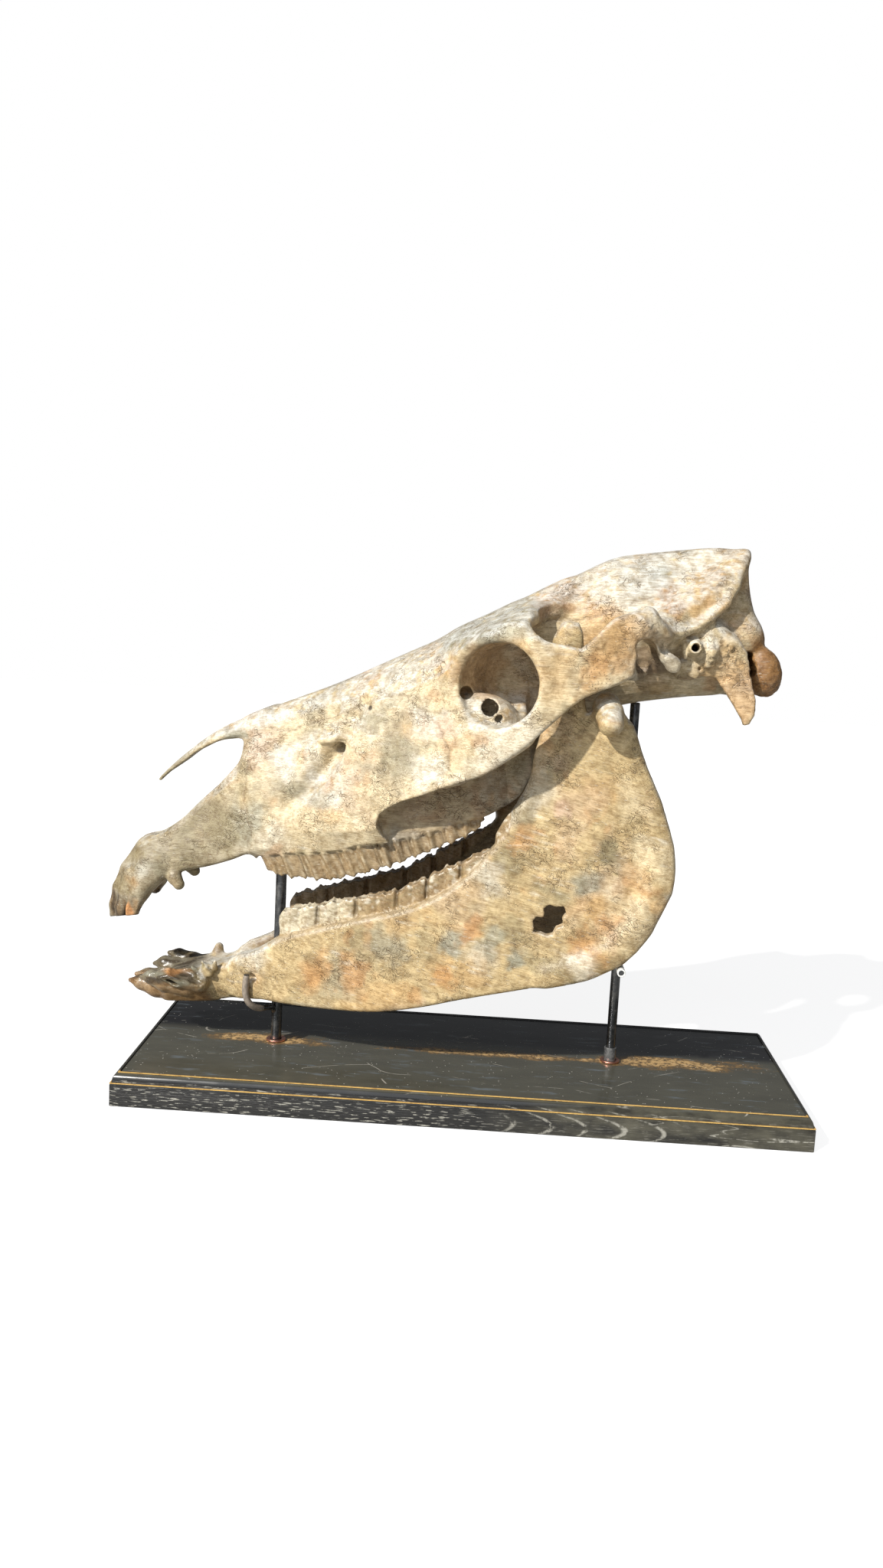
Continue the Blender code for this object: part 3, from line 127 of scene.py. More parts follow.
class Sculpture:
    """A bone as a list of features, each joined or cut in turn with its own fillet. A feature is
    on both sides, or with left True on the animal's left side only."""

    def __init__(self):
        self.steps = []

    def add(self, feature, blend, left=False):
        self.take(smooth_union, feature, blend, left)

    def cut(self, feature, blend, left=False):
        self.take(smooth_cut, feature, blend, left)

    def take(self, join, feature, blend, left):
        self.steps.append((join, *(left_only(feature) if left else feature), blend, not left))

    def value(self, points, low, high, reach):
        """The paired features' field at points in the block low..high."""
        values = np.full(len(points), FAR)
        for join, field, box_low, box_high, blend, paired in self.steps:
            margin = reach + blend
            near = np.all(box_low - margin <= high) and np.all(box_high + margin >= low)
            if paired and near:
                values = join(values, field(points), blend)
        return values


def left_only(feature):
    """The same feature on the animal's left side, y < 0."""
    field, low, high = feature
    flip = np.array([1.0, -1.0, 1.0])
    return lambda points: field(points * flip), low * (1, 0, 1) - high * (0, 1, 0), high * (1, 0, 1)


def ellipsoid(centre, radii, tilt=0.0):
    """An ellipsoid whose front-to-back axis is turned up by tilt degrees."""
    radii, centre = np.asarray(radii, float), np.asarray(centre, float)
    c, s = np.cos(np.radians(tilt)), np.sin(np.radians(tilt))
    axes = np.array([[c, 0, s], [0, 1, 0], [-s, 0, c]])

    def field(points):
        q = (points - centre) @ axes.T / radii
        k = np.sqrt((q * q).sum(1)) + 1e-9
        g = np.sqrt(((q / radii) ** 2).sum(1)) + 1e-9
        return k * (k - 1) / g

    reach = radii.max() if tilt else radii
    return field, centre - reach, centre + reach


def tube(path, radii, flat=1.0):
    """A round bar along path with a radius at each point. flat under 1 thins it sideways."""
    path = np.asarray(path, float)
    radii = np.full(len(path), radii, float) if np.isscalar(radii) else np.asarray(radii, float)
    stretch = np.array([1, 1 / flat, 1])

    def field(points):
        q = points * stretch
        best = None
        for a, b, ra, rb in zip(path[:-1] * stretch, path[1:] * stretch, radii[:-1], radii[1:]):
            along = b - a
            t = np.clip(((q - a) @ along) / (along @ along), 0, 1)
            d = np.linalg.norm(q - a - t[:, None] * along, axis=1) - (ra + (rb - ra) * t)
            best = d if best is None else smooth_union(best, d, 2.0)
        return best * flat

    return field, path.min(0) - radii.max(), path.max(0) + radii.max()


def curve(*knots):
    """A smooth function of x through (x, value) knots that adds no rise or fall between them."""
    x, v = (np.array(c, float) for c in zip(*knots))
    if len(x) < 3:
        return lambda q: np.interp(q, x, v)
    step = np.diff(x)
    slope = np.diff(v) / step
    tangent = np.zeros(len(x))
    turn = slope[:-1] * slope[1:] > 0
    w0, w1 = 2 * step[1:] + step[:-1], step[1:] + 2 * step[:-1]
    with np.errstate(divide="ignore", invalid="ignore"):
        tangent[1:-1] = np.where(turn, (w0 + w1) / (w0 / slope[:-1] + w1 / slope[1:]), 0)
    tangent[0], tangent[-1] = slope[0], slope[-1]

    def value(q):
        q = np.clip(q, x[0], x[-1])
        i = np.clip(np.searchsorted(x, q) - 1, 0, len(x) - 2)
        t = (q - x[i]) / step[i]
        ends = v[i] + (3 * t**2 - 2 * t**3) * (v[i + 1] - v[i])
        return ends + step[i] * ((t**3 - 2 * t**2 + t) * tangent[i] + (t**3 - t**2) * tangent[i + 1])

    return value


def polygon_distance(u, v, corners):
    """Signed distance in a plane to a closed outline whose corners (u, v) may vary by point."""
    best = np.full(u.shape, 1e12)
    inside = np.zeros(u.shape, bool)
    for (ua, va), (ub, vb) in zip(corners, corners[1:] + corners[:1]):
        eu, ev = ub - ua, vb - va
        wu, wv = u - ua, v - va
        t = np.clip((wu * eu + wv * ev) / (eu * eu + ev * ev + 1e-12), 0, 1)
        best = np.minimum(best, (wu - t * eu) ** 2 + (wv - t * ev) ** 2)
        slant = np.where(np.abs(ev) < 1e-12, 1e-12, ev)
        inside ^= ((va > v) != (vb > v)) & (u < ua + (v - va) * eu / slant)
    return np.where(inside, -1, 1) * np.sqrt(best)


def corners_cut(corners, passes):
    """An open outline with each inner corner replaced by two points, the given number of times."""
    for _ in range(passes):
        eased = [corners[0]]
        for (sa, ha), (sb, hb) in zip(corners[:-1], corners[1:]):
            eased.append((0.75 * sa + 0.25 * sb, 0.75 * ha + 0.25 * hb))
            eased.append((0.25 * sa + 0.75 * sb, 0.25 * ha + 0.75 * hb))
        corners = eased + [corners[-1]]
    return corners


def loft(section, ends, height, half_width, rounding, end_blend, passes=1):
    """A body along x between the two ends. section lists the right half of its outline, from the
    midline's top to its bottom, as (side, z) functions of x, and rounding softens it."""

    def field(points):
        x, side, z = points.T
        outline = corners_cut([(s(x), h(x)) for s, h in section], passes)
        (_, top), (_, bottom) = outline[0], outline[-1]
        inset = [
            (np.maximum(s - rounding, 0), np.clip(h, bottom + rounding, top - rounding))
            for s, h in outline
        ]
        mirrored = [(-s, h) for s, h in inset[-2:0:-1]]
        d = polygon_distance(side, z, inset + mirrored) - rounding
        return -smooth_union(-d, -np.maximum(ends[0] - x, x - ends[1]), end_blend)

    return field, np.array([ends[0], 0, height[0]]), np.array([ends[1], half_width, height[1]])


def midline(height):
    """A section's corner on the midline, at a height that is a function of x."""
    return (lambda x: 0 * x, height)


def rounded_outline(outline, spacing):
    """The outline's points with more between them, on a smooth closed curve."""
    p = np.asarray(outline, float)
    made = []
    for i in range(len(p)):
        a, b, c, d = p[i - 1], p[i], p[(i + 1) % len(p)], p[(i + 2) % len(p)]
        steps = max(1, int(np.linalg.norm(c - b) / spacing))
        ab, bc, cd = (np.linalg.norm(s - r) ** 0.5 + 1e-9 for r, s in ((a, b), (b, c), (c, d)))
        leave = bc * ((b - a) / ab - (c - a) / (ab + bc) + (c - b) / bc)
        arrive = bc * ((c - b) / bc - (d - b) / (bc + cd) + (d - c) / cd)
        for t in np.arange(steps) / steps:
            ease = 3 * t**2 - 2 * t**3
            made.append(b + ease * (c - b) + (t**3 - 2 * t**2 + t) * leave + (t**3 - t**2) * arrive)
    return made


def plate(outline, middle, half_thickness, edge, spacing=9.0):
    """A bent plate with the given side view, in (x, z). middle and half_thickness are functions of
    (x, z) that give the side distance of its centre and half its thickness."""
    flat = np.array(rounded_outline(outline, spacing))
    corners = [tuple(p) for p in flat]

    def field(points):
        x, side, z = points.T
        through = np.abs(side - middle(x, z)) - half_thickness(x, z)
        return -smooth_union(-polygon_distance(x, z, corners), -through, edge)

    reach = middle(*flat.T) + half_thickness(*flat.T)
    low, high = flat.min(0), flat.max(0)
    return field, np.array([low[0], 0, low[1]]), np.array([high[0], reach.max(), high[1]])


def prism(outline, low, high, edge, lean):
    """An upright column with a flat outline in (x, side), between heights that are functions of
    (x, side). The outline moves forward by lean for each millimetre above z = 0."""
    flat = np.array(outline, float)
    corners = [tuple(p) for p in flat]

    def field(points):
        x, side, z = points.T
        ends = np.maximum(low(x, side) - z, z - high(x, side))
        return -smooth_union(-polygon_distance(x + lean * z, side, corners), -ends, edge)

    (x0, side0), (x1, side1) = flat.min(0), flat.max(0)
    x, side = (g.ravel() for g in np.meshgrid(np.linspace(x0, x1, 9), np.linspace(side0, side1, 5)))
    bottom, top = low(x, side).min() - edge, high(x, side).max() + edge
    shift = lean * bottom, lean * top
    return (
        field,
        np.array([x0 - max(shift), side0, bottom]),
        np.array([x1 - min(shift), side1, top]),
    )


def below(height, low, high):
    """The part of the box low..high that lies under a height, a function of (x, side)."""
    low, high = np.array(low, float), np.array(high, float)

    def field(points):
        x, side, z = points.T
        return np.maximum(z - height(x, side), np.maximum(low[0] - x, x - high[0]))

    return field, low, high


# ------------------------------------------------------------------ from field to mesh

BLOCK = 16  # grid points on a side of the blocks that are worked out together
FAR = 40.0  # the field's value away from every feature


def block_points(corner, offsets):
    grid = np.meshgrid(*(corner[axis] + offsets for axis in range(3)), indexing="ij")
    return np.stack([g.ravel() for g in grid], 1)


def refined(coarse):
    """The values between those of a coarse block, at twice its fineness."""
    for axis in range(3):
        coarse = np.moveaxis(coarse, axis, 0)
        between = 0.5 * (coarse[:-1] + coarse[1:])
        coarse = np.stack([coarse[:-1], between], 1).reshape(-1, *coarse.shape[1:])
        coarse = np.moveaxis(coarse, 0, axis)
    return coarse


def block_values(sculpture, corner, voxel):
    """One block of the field: exact near the surface, and of the right sign elsewhere."""
    size = BLOCK * voxel
    value = partial(sculpture.value, low=corner, high=corner + size, reach=0.9 * size)
    rough = value(block_points(corner, np.linspace(0, size, 4)))
    if np.abs(rough).min() > 0.55 * size:
        return rough[np.abs(rough).argmin()]
    half = BLOCK // 2 + 1
    coarse = value(block_points(corner, np.linspace(0, size, half)))
    block = refined(coarse.reshape(half, half, half))
    near = np.abs(block) < 2.2 * voxel
    block[near] = value(block_points(corner, np.arange(BLOCK) * voxel)[near.ravel()])
    return block


def field_grid(sculpture, low, high, voxel):
    """The sculpture's field on a grid, and the grid's first point. The side y > 0 is worked out
    and mirrored, and then the features of one side are put in."""
    size = BLOCK * voxel
    blocks = [int(np.ceil(span / size)) for span in (high[0] - low[0], high[1], high[2] - low[2])]
    half = np.empty([n * BLOCK for n in blocks])
    start = np.array([low[0], 0.5 * voxel, low[2]])
    for index in np.ndindex(*blocks):
        corner = start + np.array(index) * size
        half[tuple(slice(i * BLOCK, (i + 1) * BLOCK) for i in index)] = block_values(
            sculpture, corner, voxel
        )
    grid = np.concatenate([half[:, ::-1], half], 1)
    start[1] = (0.5 - half.shape[1]) * voxel
    for join, field, box_low, box_high, blend, paired in sculpture.steps:
        if paired:
            continue
        first = np.maximum(((box_low - blend - start) / voxel).astype(int) - 2, 0)
        last = np.minimum(((box_high + blend - start) / voxel).astype(int) + 3, grid.shape)
        axes = [start[a] + np.arange(first[a], last[a]) * voxel for a in range(3)]
        points = np.stack([g.ravel() for g in np.meshgrid(*axes, indexing="ij")], 1)
        part = grid[tuple(slice(a, b) for a, b in zip(first, last))]
        part[...] = join(part.ravel(), field(points), blend).reshape(part.shape)
    return grid, start


def shifted(shape, *offsets):
    """The slices of a grid that start offsets in and leave out as many points at the end."""
    return tuple(slice(o, n - 1 + o) for o, n in zip(offsets, shape))


def fill_touching_corners(grid):
    """Fills each grid square or cell that is inside at two opposite corners only, and each that is
    outside there only, because the surface would touch itself in it."""
    squares = [[(0, 0, 0), (1, 1, 0)], [(0, 0, 0), (1, 0, 1)], [(0, 0, 0), (0, 1, 1)]]
    squares += [[(0, 1, 0), (1, 0, 0)], [(0, 0, 1), (1, 0, 0)], [(0, 0, 1), (0, 1, 0)]]
    cell = list(np.ndindex(2, 2, 2))
    for _ in range(30):
        filled = 0
        for near, far in squares:
            flat = [axis for axis in range(3) if near[axis] == far[axis]][0]
            square = [c for c in cell if c[flat] == 0]
            filled += fill_where_only(grid, (near, far), square)
        for near in cell[:4]:
            filled += fill_where_only(grid, (near, tuple(1 - n for n in near)), cell)
        if not filled:
            break


def fill_where_only(grid, pair, corners):
    """Fills the given corners' group wherever the pair differs in side from all the others."""
    parts = {c: grid[shifted(grid.shape, *c)] for c in corners}
    inside = {c: part < 0 for c, part in parts.items()}
    paired = inside[pair[0]] & inside[pair[1]]
    paired_out = ~inside[pair[0]] & ~inside[pair[1]]
    for c in corners:
        if c not in pair:
            paired = paired & ~inside[c]
            paired_out = paired_out & inside[c]
    places = paired | paired_out
    if places.any():
        for part in parts.values():
            part[places & (part >= 0)] = -0.05
    return int(places.sum())


def surface(grid, start, voxel):
    """The points and four-sided faces of the grid's zero surface, a point in each cell it crosses."""
    inside = grid < 0
    corners = list(np.ndindex(2, 2, 2))
    count = sum(inside[shifted(grid.shape, *c)].astype(int) for c in corners)
    cells = np.argwhere((count > 0) & (count < 8))
    number = np.full(count.shape, -1)
    number[tuple(cells.T)] = np.arange(len(cells))
    total, hits = np.zeros((len(cells), 3)), np.zeros(len(cells))
    for near in corners:
        for axis in range(3):
            if near[axis]:
                continue
            step = np.eye(3, dtype=int)[axis]
            va, vb = (grid[tuple((cells + near + o).T)] for o in (0 * step, step))
            crossing = (va < 0) != (vb < 0)
            t = np.where(crossing, va / np.where(crossing, va - vb, 1), 0)
            total += np.where(crossing[:, None], near + t[:, None] * step, 0)
            hits += crossing
    points = start + (cells + total / hits[:, None]) * voxel
    faces = []
    for axis in range(3):
        u, w = np.eye(3, dtype=int)[(axis + 1) % 3], np.eye(3, dtype=int)[(axis + 2) % 3]
        lower = inside[tuple(slice(0 if a == axis else 1, n - 1) for a, n in enumerate(grid.shape))]
        upper = inside[tuple(slice(1, n if a == axis else n - 1) for a, n in enumerate(grid.shape))]
        edges = np.argwhere(lower != upper)
        outward = lower[tuple(edges.T)]
        edges = edges + u + w
        quad = np.stack([number[tuple((edges - o).T)] for o in (u + w, w, 0 * w, u)], 1)
        faces.append(np.where(outward[:, None], quad, quad[:, ::-1]))
    return points, np.concatenate(faces)


# ------------------------------------------------------------------ cranium
# Its frame, in millimetres: x runs back from the front of the cheek teeth and z up from the gum.

PROFILE = curve(
    (-83, 59), (-61, 75), (-28, 93), (4, 103), (66, 118.4), (129, 138),
    (190, 156.6), (251, 178.6), (300, 192), (354, 191), (397, 184),
)
GUM = curve(
    (-10, -4.5), (22, -4.8), (47, -5), (62, -4), (74, -1.5), (95, -1), (118, 0.5), (135, 3.5),
    (155, 8.5), (167, 9.5), (182, 14), (198, 22), (205, 31), (213, 44),
)
UPPER_OUTER = curve((-6, 33.5), (34, 45.5), (62, 51.2), (90, 54), (112, 52.8), (140, 53), (171, 51))
UPPER_TIPS = curve(
    (-6, -13), (0, -18), (10, -23), (32, -26.5), (50, -28), (71, -25.5),
    (104, -19), (119, -15), (140, -9), (160, -2.5), (172, 6),
)
UPPER_TEETH = [(-6, 29.3), (29, 60), (59.5, 88), (89, 115), (114, 142), (141, 171)]
UPPER_LEAN = (0.3, 0.3, 0.26, 0.14, 0.1, 0.06)  # how far back each tooth's ribs run, per mm down


def face():
    """The nasals, maxillae and fronts of the frontals, from the nose to behind the orbits. It is
    full below the facial crest, where cheek_hollow is cut away."""
    crest = curve(
        (-10, 35), (20, 45), (50, 55), (80, 64), (95, 71), (128, 82), (170, 91), (215, 98)
    )
    crest_z = curve((-10, 17), (80, 15), (95, 19), (111, 30), (147, 40), (184, 53), (221, 75))
    section = [
        midline(PROFILE),
        (
            curve((-10, 20), (50, 31), (95, 44), (128, 56), (170, 74), (195, 80), (215, 76)),
            curve((-10, 93), (50, 107), (95, 117), (128, 125), (170, 135), (195, 142), (215, 147)),
        ),
        (
            curve((-10, 28), (20, 35), (50, 43), (95, 57), (128, 67), (170, 80), (215, 84)),
            curve((-10, 54), (50, 64), (95, 74), (128, 86), (170, 106), (215, 120)),
        ),
        (crest, crest_z),
        (
            curve(
                (-10, 35.5), (20, 44), (50, 52), (80, 58.5), (95, 65), (112, 77), (147, 85), (215, 95)
            ),
            lambda x: crest_z(x) - 9,
        ),
        (
            curve((-10, 30), (20, 38.5), (50, 46), (80, 50), (95, 51), (112, 76), (147, 83), (215, 90)),
            lambda x: GUM(x) - 14,
        ),
        (
            curve((-10, 8), (20, 16), (50, 24), (95, 31), (150, 32), (190, 27), (215, 22)),
            lambda x: GUM(x) - 12,
        ),
        midline(lambda x: GUM(x) - 12),
    ]
    return loft(section, (-9, 211), (-22, 175), 100, 4, 10, 2)


def below_gum():
    """Everything under the gum line and the arch of the palate, so that the cheek comes flush down
    to the teeth."""
    palate = curve((-10, 1), (20, 4), (95, 6), (130, 12), (170, 20), (214, 30))
    return below(
        lambda x, side: np.maximum(GUM(x), palate(x) - 0.022 * side**2), (-9, 0, -40), (214, 112, 46)
    )


def cheek_hollow():
    """What is cut away below the facial crest, down to the wall over the cheek teeth's roots."""
    outline = [
        (103, -12), (98.5, 0), (94, 7), (91.5, 15), (95, 22.5), (102, 27), (113, 31.5), (126, 34.5),
        (141, 38.5), (156, 42.5), (171, 47.5), (183, 52), (196, 59), (211, 67.5), (228, 82),
        (246, 94), (246, -30), (112, -30),
    ]
    wall = curve((91, 52.6), (112, 52.2), (140, 53.2), (171, 52), (190, 48), (246, 38))
    lean = 0.06  # how far the wall comes inwards for each step up
    depth = 45  # half of what is cut away beside the wall

    def middle(x, z):
        return wall(x) + depth - lean * (z - 4)

    return plate(outline, middle, lambda x, z: depth + 0 * x, 2, 5)


def braincase():
    """The middle of the skull from the lacrimals back to the nuchal plane."""
    base = curve((165, 60), (215, 68), (255, 76), (298, 81.5), (330, 82), (352, 81), (396, 90))
    section = [
        midline(PROFILE),
        (
            curve((165, 42), (215, 46), (240, 42), (262, 36), (290, 31), (350, 25), (396, 24)),
            curve((165, 138), (215, 156), (240, 164), (262, 172), (290, 180), (350, 181), (396, 178)),
        ),
        (
            curve(
                (165, 42), (190, 38), (215, 36), (235, 41), (275, 53), (310, 56), (350, 48),
                (372, 36), (396, 24),
            ),
            curve((165, 110), (215, 124), (255, 136), (300, 142), (350, 142), (396, 148)),
        ),
        (
            curve((165, 40), (215, 29), (235, 27), (275, 36), (325, 45), (350, 41), (372, 36), (396, 28)),
            curve((165, 72), (215, 82), (255, 95), (300, 106), (350, 104), (396, 118)),
        ),
        (curve((165, 26), (215, 21), (275, 17), (325, 21), (396, 23)), base),
        midline(base),
    ]
    return loft(section, (166, 388), (55, 196), 60, 10, 10, 2)


def orbit_roof():
    """The frontal bone's shelf over the orbit, which thins towards its outer edge."""
    edge = curve(
        (150, 58), (170, 76), (190, 88), (210, 93), (218, 90), (225, 72), (238, 52), (256, 34)
    )
    edge_z = curve((150, 128), (170, 136), (190, 144), (210, 148), (227, 153), (252, 166))
    section = [
        midline(lambda x: PROFILE(x) - 0.8),
        (lambda x: 0.5 * edge(x), lambda x: 0.72 * PROFILE(x) + 0.28 * edge_z(x)),
        (lambda x: 0.85 * edge(x), lambda x: 0.25 * PROFILE(x) + 0.75 * edge_z(x) + 1.5),
        (edge, edge_z),
        (lambda x: edge(x) - 3, lambda x: edge_z(x) - 10),
        (lambda x: 0.55 * edge(x), lambda x: 0.66 * PROFILE(x) + 0.34 * edge_z(x) - 16),
        midline(lambda x: PROFILE(x) - 20),
    ]
    return loft(section, (152, 256), (116, 196), 100, 3.5, 14)


def zygomatic_arch():
    outline = [
        (140, 50), (152, 64), (168, 80), (190, 79), (212, 88), (222, 110), (223, 138), (236, 134),
        (252, 129), (263, 137), (278, 148), (293, 149), (303, 141), (304, 128), (295, 126),
        (290, 114), (286, 105), (274, 101), (251, 95), (235, 85), (210, 67.5), (171, 47.5), (147, 40),
    ]
    middle = curve(
        (140, 66), (165, 78), (190, 90), (215, 95), (240, 96), (265, 94), (285, 88), (305, 78)
    )
    half = curve((140, 5), (190, 5), (222, 5.5), (245, 4.5), (270, 5.5), (290, 7), (305, 7))
    return plate(outline, lambda x, z: middle(x) - 0.05 * (z - 100), lambda x, z: half(x), 3.5)


ORBIT_CENTRE = (191, 84.5, 109.5)
ORBIT_RADII = (33.5, 34)  # along the skull and upwards
ORBIT_SWING = 0.38  # how far its plane comes outwards for each step back


def orbit_rim(radius):
    """A round bar round the orbit, in an oval whose plane turns outwards to the back."""
    turn = np.linspace(0, 2 * np.pi, 19)
    across, up = ORBIT_RADII[0] * np.cos(turn), ORBIT_RADII[1] * np.sin(turn)
    x, side, z = ORBIT_CENTRE
    return tube(np.stack([x + across, side + ORBIT_SWING * across, z + up], 1), radius)


def nasal_roof():
    """The nasal bones' free front, a thin arch that ends in a beak."""
    half = curve((-84, 1.5), (-70, 6), (-50, 12), (-25, 18), (0, 23), (20, 25))
    under = curve((-84, 56), (-77, 60), (-60, 69), (-46, 77), (-21, 84), (0, 84), (20, 88))
    section = [
        midline(PROFILE),
        (lambda x: 0.7 * half(x), lambda x: PROFILE(x) - 0.06 * half(x) - 1),
        (half, lambda x: 0.5 * (PROFILE(x) + under(x)) - 1),
        (lambda x: 0.85 * half(x), under),
        midline(lambda x: under(x) + 1),
    ]
    return loft(section, (-84, 16), (50, 108), 30, 1.6, 3)


def premaxilla():
    """The incisive bone: its floor and the side walls that climb to the nasals."""
    rim = curve(
        (-112, 0), (-103, 8), (-90, 15), (-67, 28), (-49, 43), (-30, 56), (-16, 67), (-5, 82),
        (14, 92), (30, 92),
    )
    low = curve(
        (-112, -32), (-103, -30), (-95, -27), (-88, -23.5), (-78, -20.5), (-65, -17.5), (-49, -16),
        (-29, -12), (-14, -8), (14, -6.5), (30, -6),
    )
    section = [
        midline(rim),
        (curve((-112, 14), (-80, 18), (-49, 19), (-20, 22), (0, 22), (30, 16)), lambda x: rim(x) - 1),
        (
            curve((-112, 31), (-103, 32), (-80, 27), (-49, 25), (-20, 32), (-5, 36.5), (14, 38), (30, 36)),
            lambda x: 0.6 * low(x) + 0.4 * rim(x),
        ),
        (
            curve((-112, 31), (-103, 33), (-80, 27), (-49, 25), (-20, 33), (-5, 37), (14, 38), (30, 36)),
            lambda x: low(x) + 1,
        ),
        (curve((-112, 20), (-80, 16), (-49, 14), (14, 20), (30, 20)), lambda x: low(x) - 1),
        midline(lambda x: low(x) + 4),
    ]
    return loft(section, (-104, 30), (-34, 92), 44, 4, 7)


def nasal_cavity():
    """What is cut away inside the nose, from its open front back between the cheeks."""
    half = curve((-105, 5), (-90, 10), (-60, 14), (-20, 16), (10, 20), (60, 24), (120, 18))
    top = curve(
        (-105, 30), (-84, 53), (-77, 59), (-60, 68), (-46, 75), (-21, 86), (0, 93), (60, 108), (120, 120)
    )
    floor = curve((-105, 14), (-90, 6), (-60, 0), (0, 8), (60, 20), (120, 40))
    section = [
        midline(top),
        (lambda x: 0.8 * half(x), lambda x: top(x) - 4),
        (half, lambda x: 0.5 * (top(x) + floor(x))),
        (lambda x: 0.8 * half(x), floor),
        midline(floor),
    ]
    return loft(section, (-99, 112), (-4, 124), 30, 4, 8)


def tooth_column(first, last, outer_line, width, cheek_side, tongue_side, low, high, lean):
    """A cheek tooth from first to last. Each side's folds are (share of its length, proudness)."""
    length = last - first
    outline = [
        (first + t * length, float(outer_line(first + t * length)) + d) for t, d in cheek_side
    ]
    outline += [
        (first + t * length, float(outer_line(first + t * length)) - width - d)
        for t, d in reversed(tongue_side)
    ]
    return prism(outline, low, high, 1.2, lean)


UPPER_CHEEK_FOLDS = [
    (0.0, -2.6), (0.08, 0.2), (0.14, 1.1), (0.21, 0.2), (0.33, -2.4), (0.45, -1.4), (0.51, 1.2),
    (0.57, 0.4), (0.68, -2.4), (0.8, -2.0), (0.88, -0.2), (0.93, -0.6), (1.0, -2.6),
]
UPPER_TONGUE_FOLDS = [
    (0.0, -5), (0.2, 0.5), (0.45, 1.5), (0.62, -2.5), (0.85, -1), (1.0, -6),
]


def cut_eye_and_temple_spaces(skull):
    """The orbit, the spaces behind and below it, and the choana behind the palate."""
    skull.cut(tube([(186, 122, 111), (194, 84, 109), (206, 56, 112)], [33, 30, 26]), 5)
    skull.cut(tube([(214, 76, 84), (236, 66, 70)], [15, 24]), 6)
    skull.cut(tube([(222, 80, 150), (250, 60, 150)], [14, 24]), 5)
    skull.cut(tube([(128, 0, -6), (150, 0, 12), (200, 0, 42), (230, 0, 50)], [14, 19, 23, 26]), 4)


def add_orbit(skull):
    skull.add(orbit_roof(), 9)
    skull.cut(tube([(240, 110, 148), (243, 64, 152)], [15, 18]), 2)
    skull.cut(tube([(236, 110, 161), (239, 72, 161)], [12, 12]), 2)
    skull.add(zygomatic_arch(), 8)
    post = [(202, 88, 149), (213, 92, 146), (219, 96, 137), (226, 97, 124)]
    skull.add(tube(post, [4, 5.5, 5, 6], 0.8), 5)
    skull.add(orbit_rim(3), 6)
    skull.cut(tube([(184, 112, 110), (193, 84, 109.5)], [31, 29.5]), 2)
    skull.add(ellipsoid((178, 58, 83), (27, 22, 20), -14), 3)


def add_jaw_joint(skull):
    """The bar and hollow that the mandible's condyle works against, and the process behind."""
    skull.add(tube([(284, 76, 113), (288, 66, 111), (294, 50, 108)], [7, 9, 9]), 6)
    skull.add(tube([(294, 84, 138), (304, 68, 134), (316, 52, 130)], [10, 10, 12]), 9)
    behind = [(300, 80, 144), (306, 78, 135), (310, 77, 126), (313, 75, 117), (317, 72, 110)]
    skull.add(tube(behind, [8, 7.5, 6.4, 5.6, 5.8], 0.85), 4)
    for z, radius in ((125, 7), (115, 7.6), (103, 7.6)):
        skull.cut(tube([(296.5, 104, z), (298.5, 55, z - 4)], [radius, radius + 1]), 2)


def add_back_of_skull(skull):
    shelf = [
        (314, 60, 142), (324, 54, 144), (336, 47, 148), (349, 43, 154), (362, 37, 164), (372, 29, 175)
    ]
    skull.add(tube(shelf, [5, 8.5, 11, 10, 8, 5]), 12)
    crest = [
        (301, 81, 146), (305, 77, 138), (314, 71, 132), (325, 65, 131), (337, 60, 134),
        (349, 56, 140), (362, 49, 149), (371, 43, 161), (377, 33, 173), (383, 20, 181), (390, 0, 182),
    ]
    skull.add(tube(crest, [3.6, 3.2, 2.8, 2.6, 2.6, 2.6, 2.6, 2.6, 2.8, 3.5, 4]), 9)
    undercut = [(306, 86, 129), (314, 79, 122.5), (325, 73, 121), (337, 69, 124), (348, 66, 130)]
    skull.cut(tube(undercut, [4, 5.5, 6.5, 6, 3]), 2)
    add_ear(skull)
    # the nuchal surface, the foramen magnum and the condyles beside it
    skull.cut(ellipsoid((406, 0, 157), (21, 72, 34)), 8)
    skull.add(ellipsoid((374, 20, 122), (18, 17, 14), -20), 10)
    skull.add(ellipsoid((388.5, 26, 95), (14, 13, 19), 8), 4)
    skull.add(ellipsoid((376, 14, 88), (18, 12, 11)), 6)
    skull.cut(tube([(350, 0, 110), (405, 0, 101)], [12, 17]), 4)
    skull.add(tube([(362, 46, 116), (362, 49, 100), (361, 50, 94)], [9, 7, 4], 0.7), 6)
    jugular = [
        (343, 112), (349, 99), (354, 88), (360, 76.5), (365, 66), (367, 59), (371, 59.5), (376, 66),
        (377.5, 75), (376, 88), (374, 112), (362, 124),
    ]
    blade = plate(jugular, lambda x, z: 47 + 0.06 * (100 - z), lambda x, z: 3.8 + 0 * x, 3)
    skull.add(blade, 5, left=True)
    for x, z in ((379, 108), (379.5, 102), (379, 96)):
        skull.cut(tube([(x, 64, z), (x - 2, 22, z)], [4, 3.6]), 1, left=True)


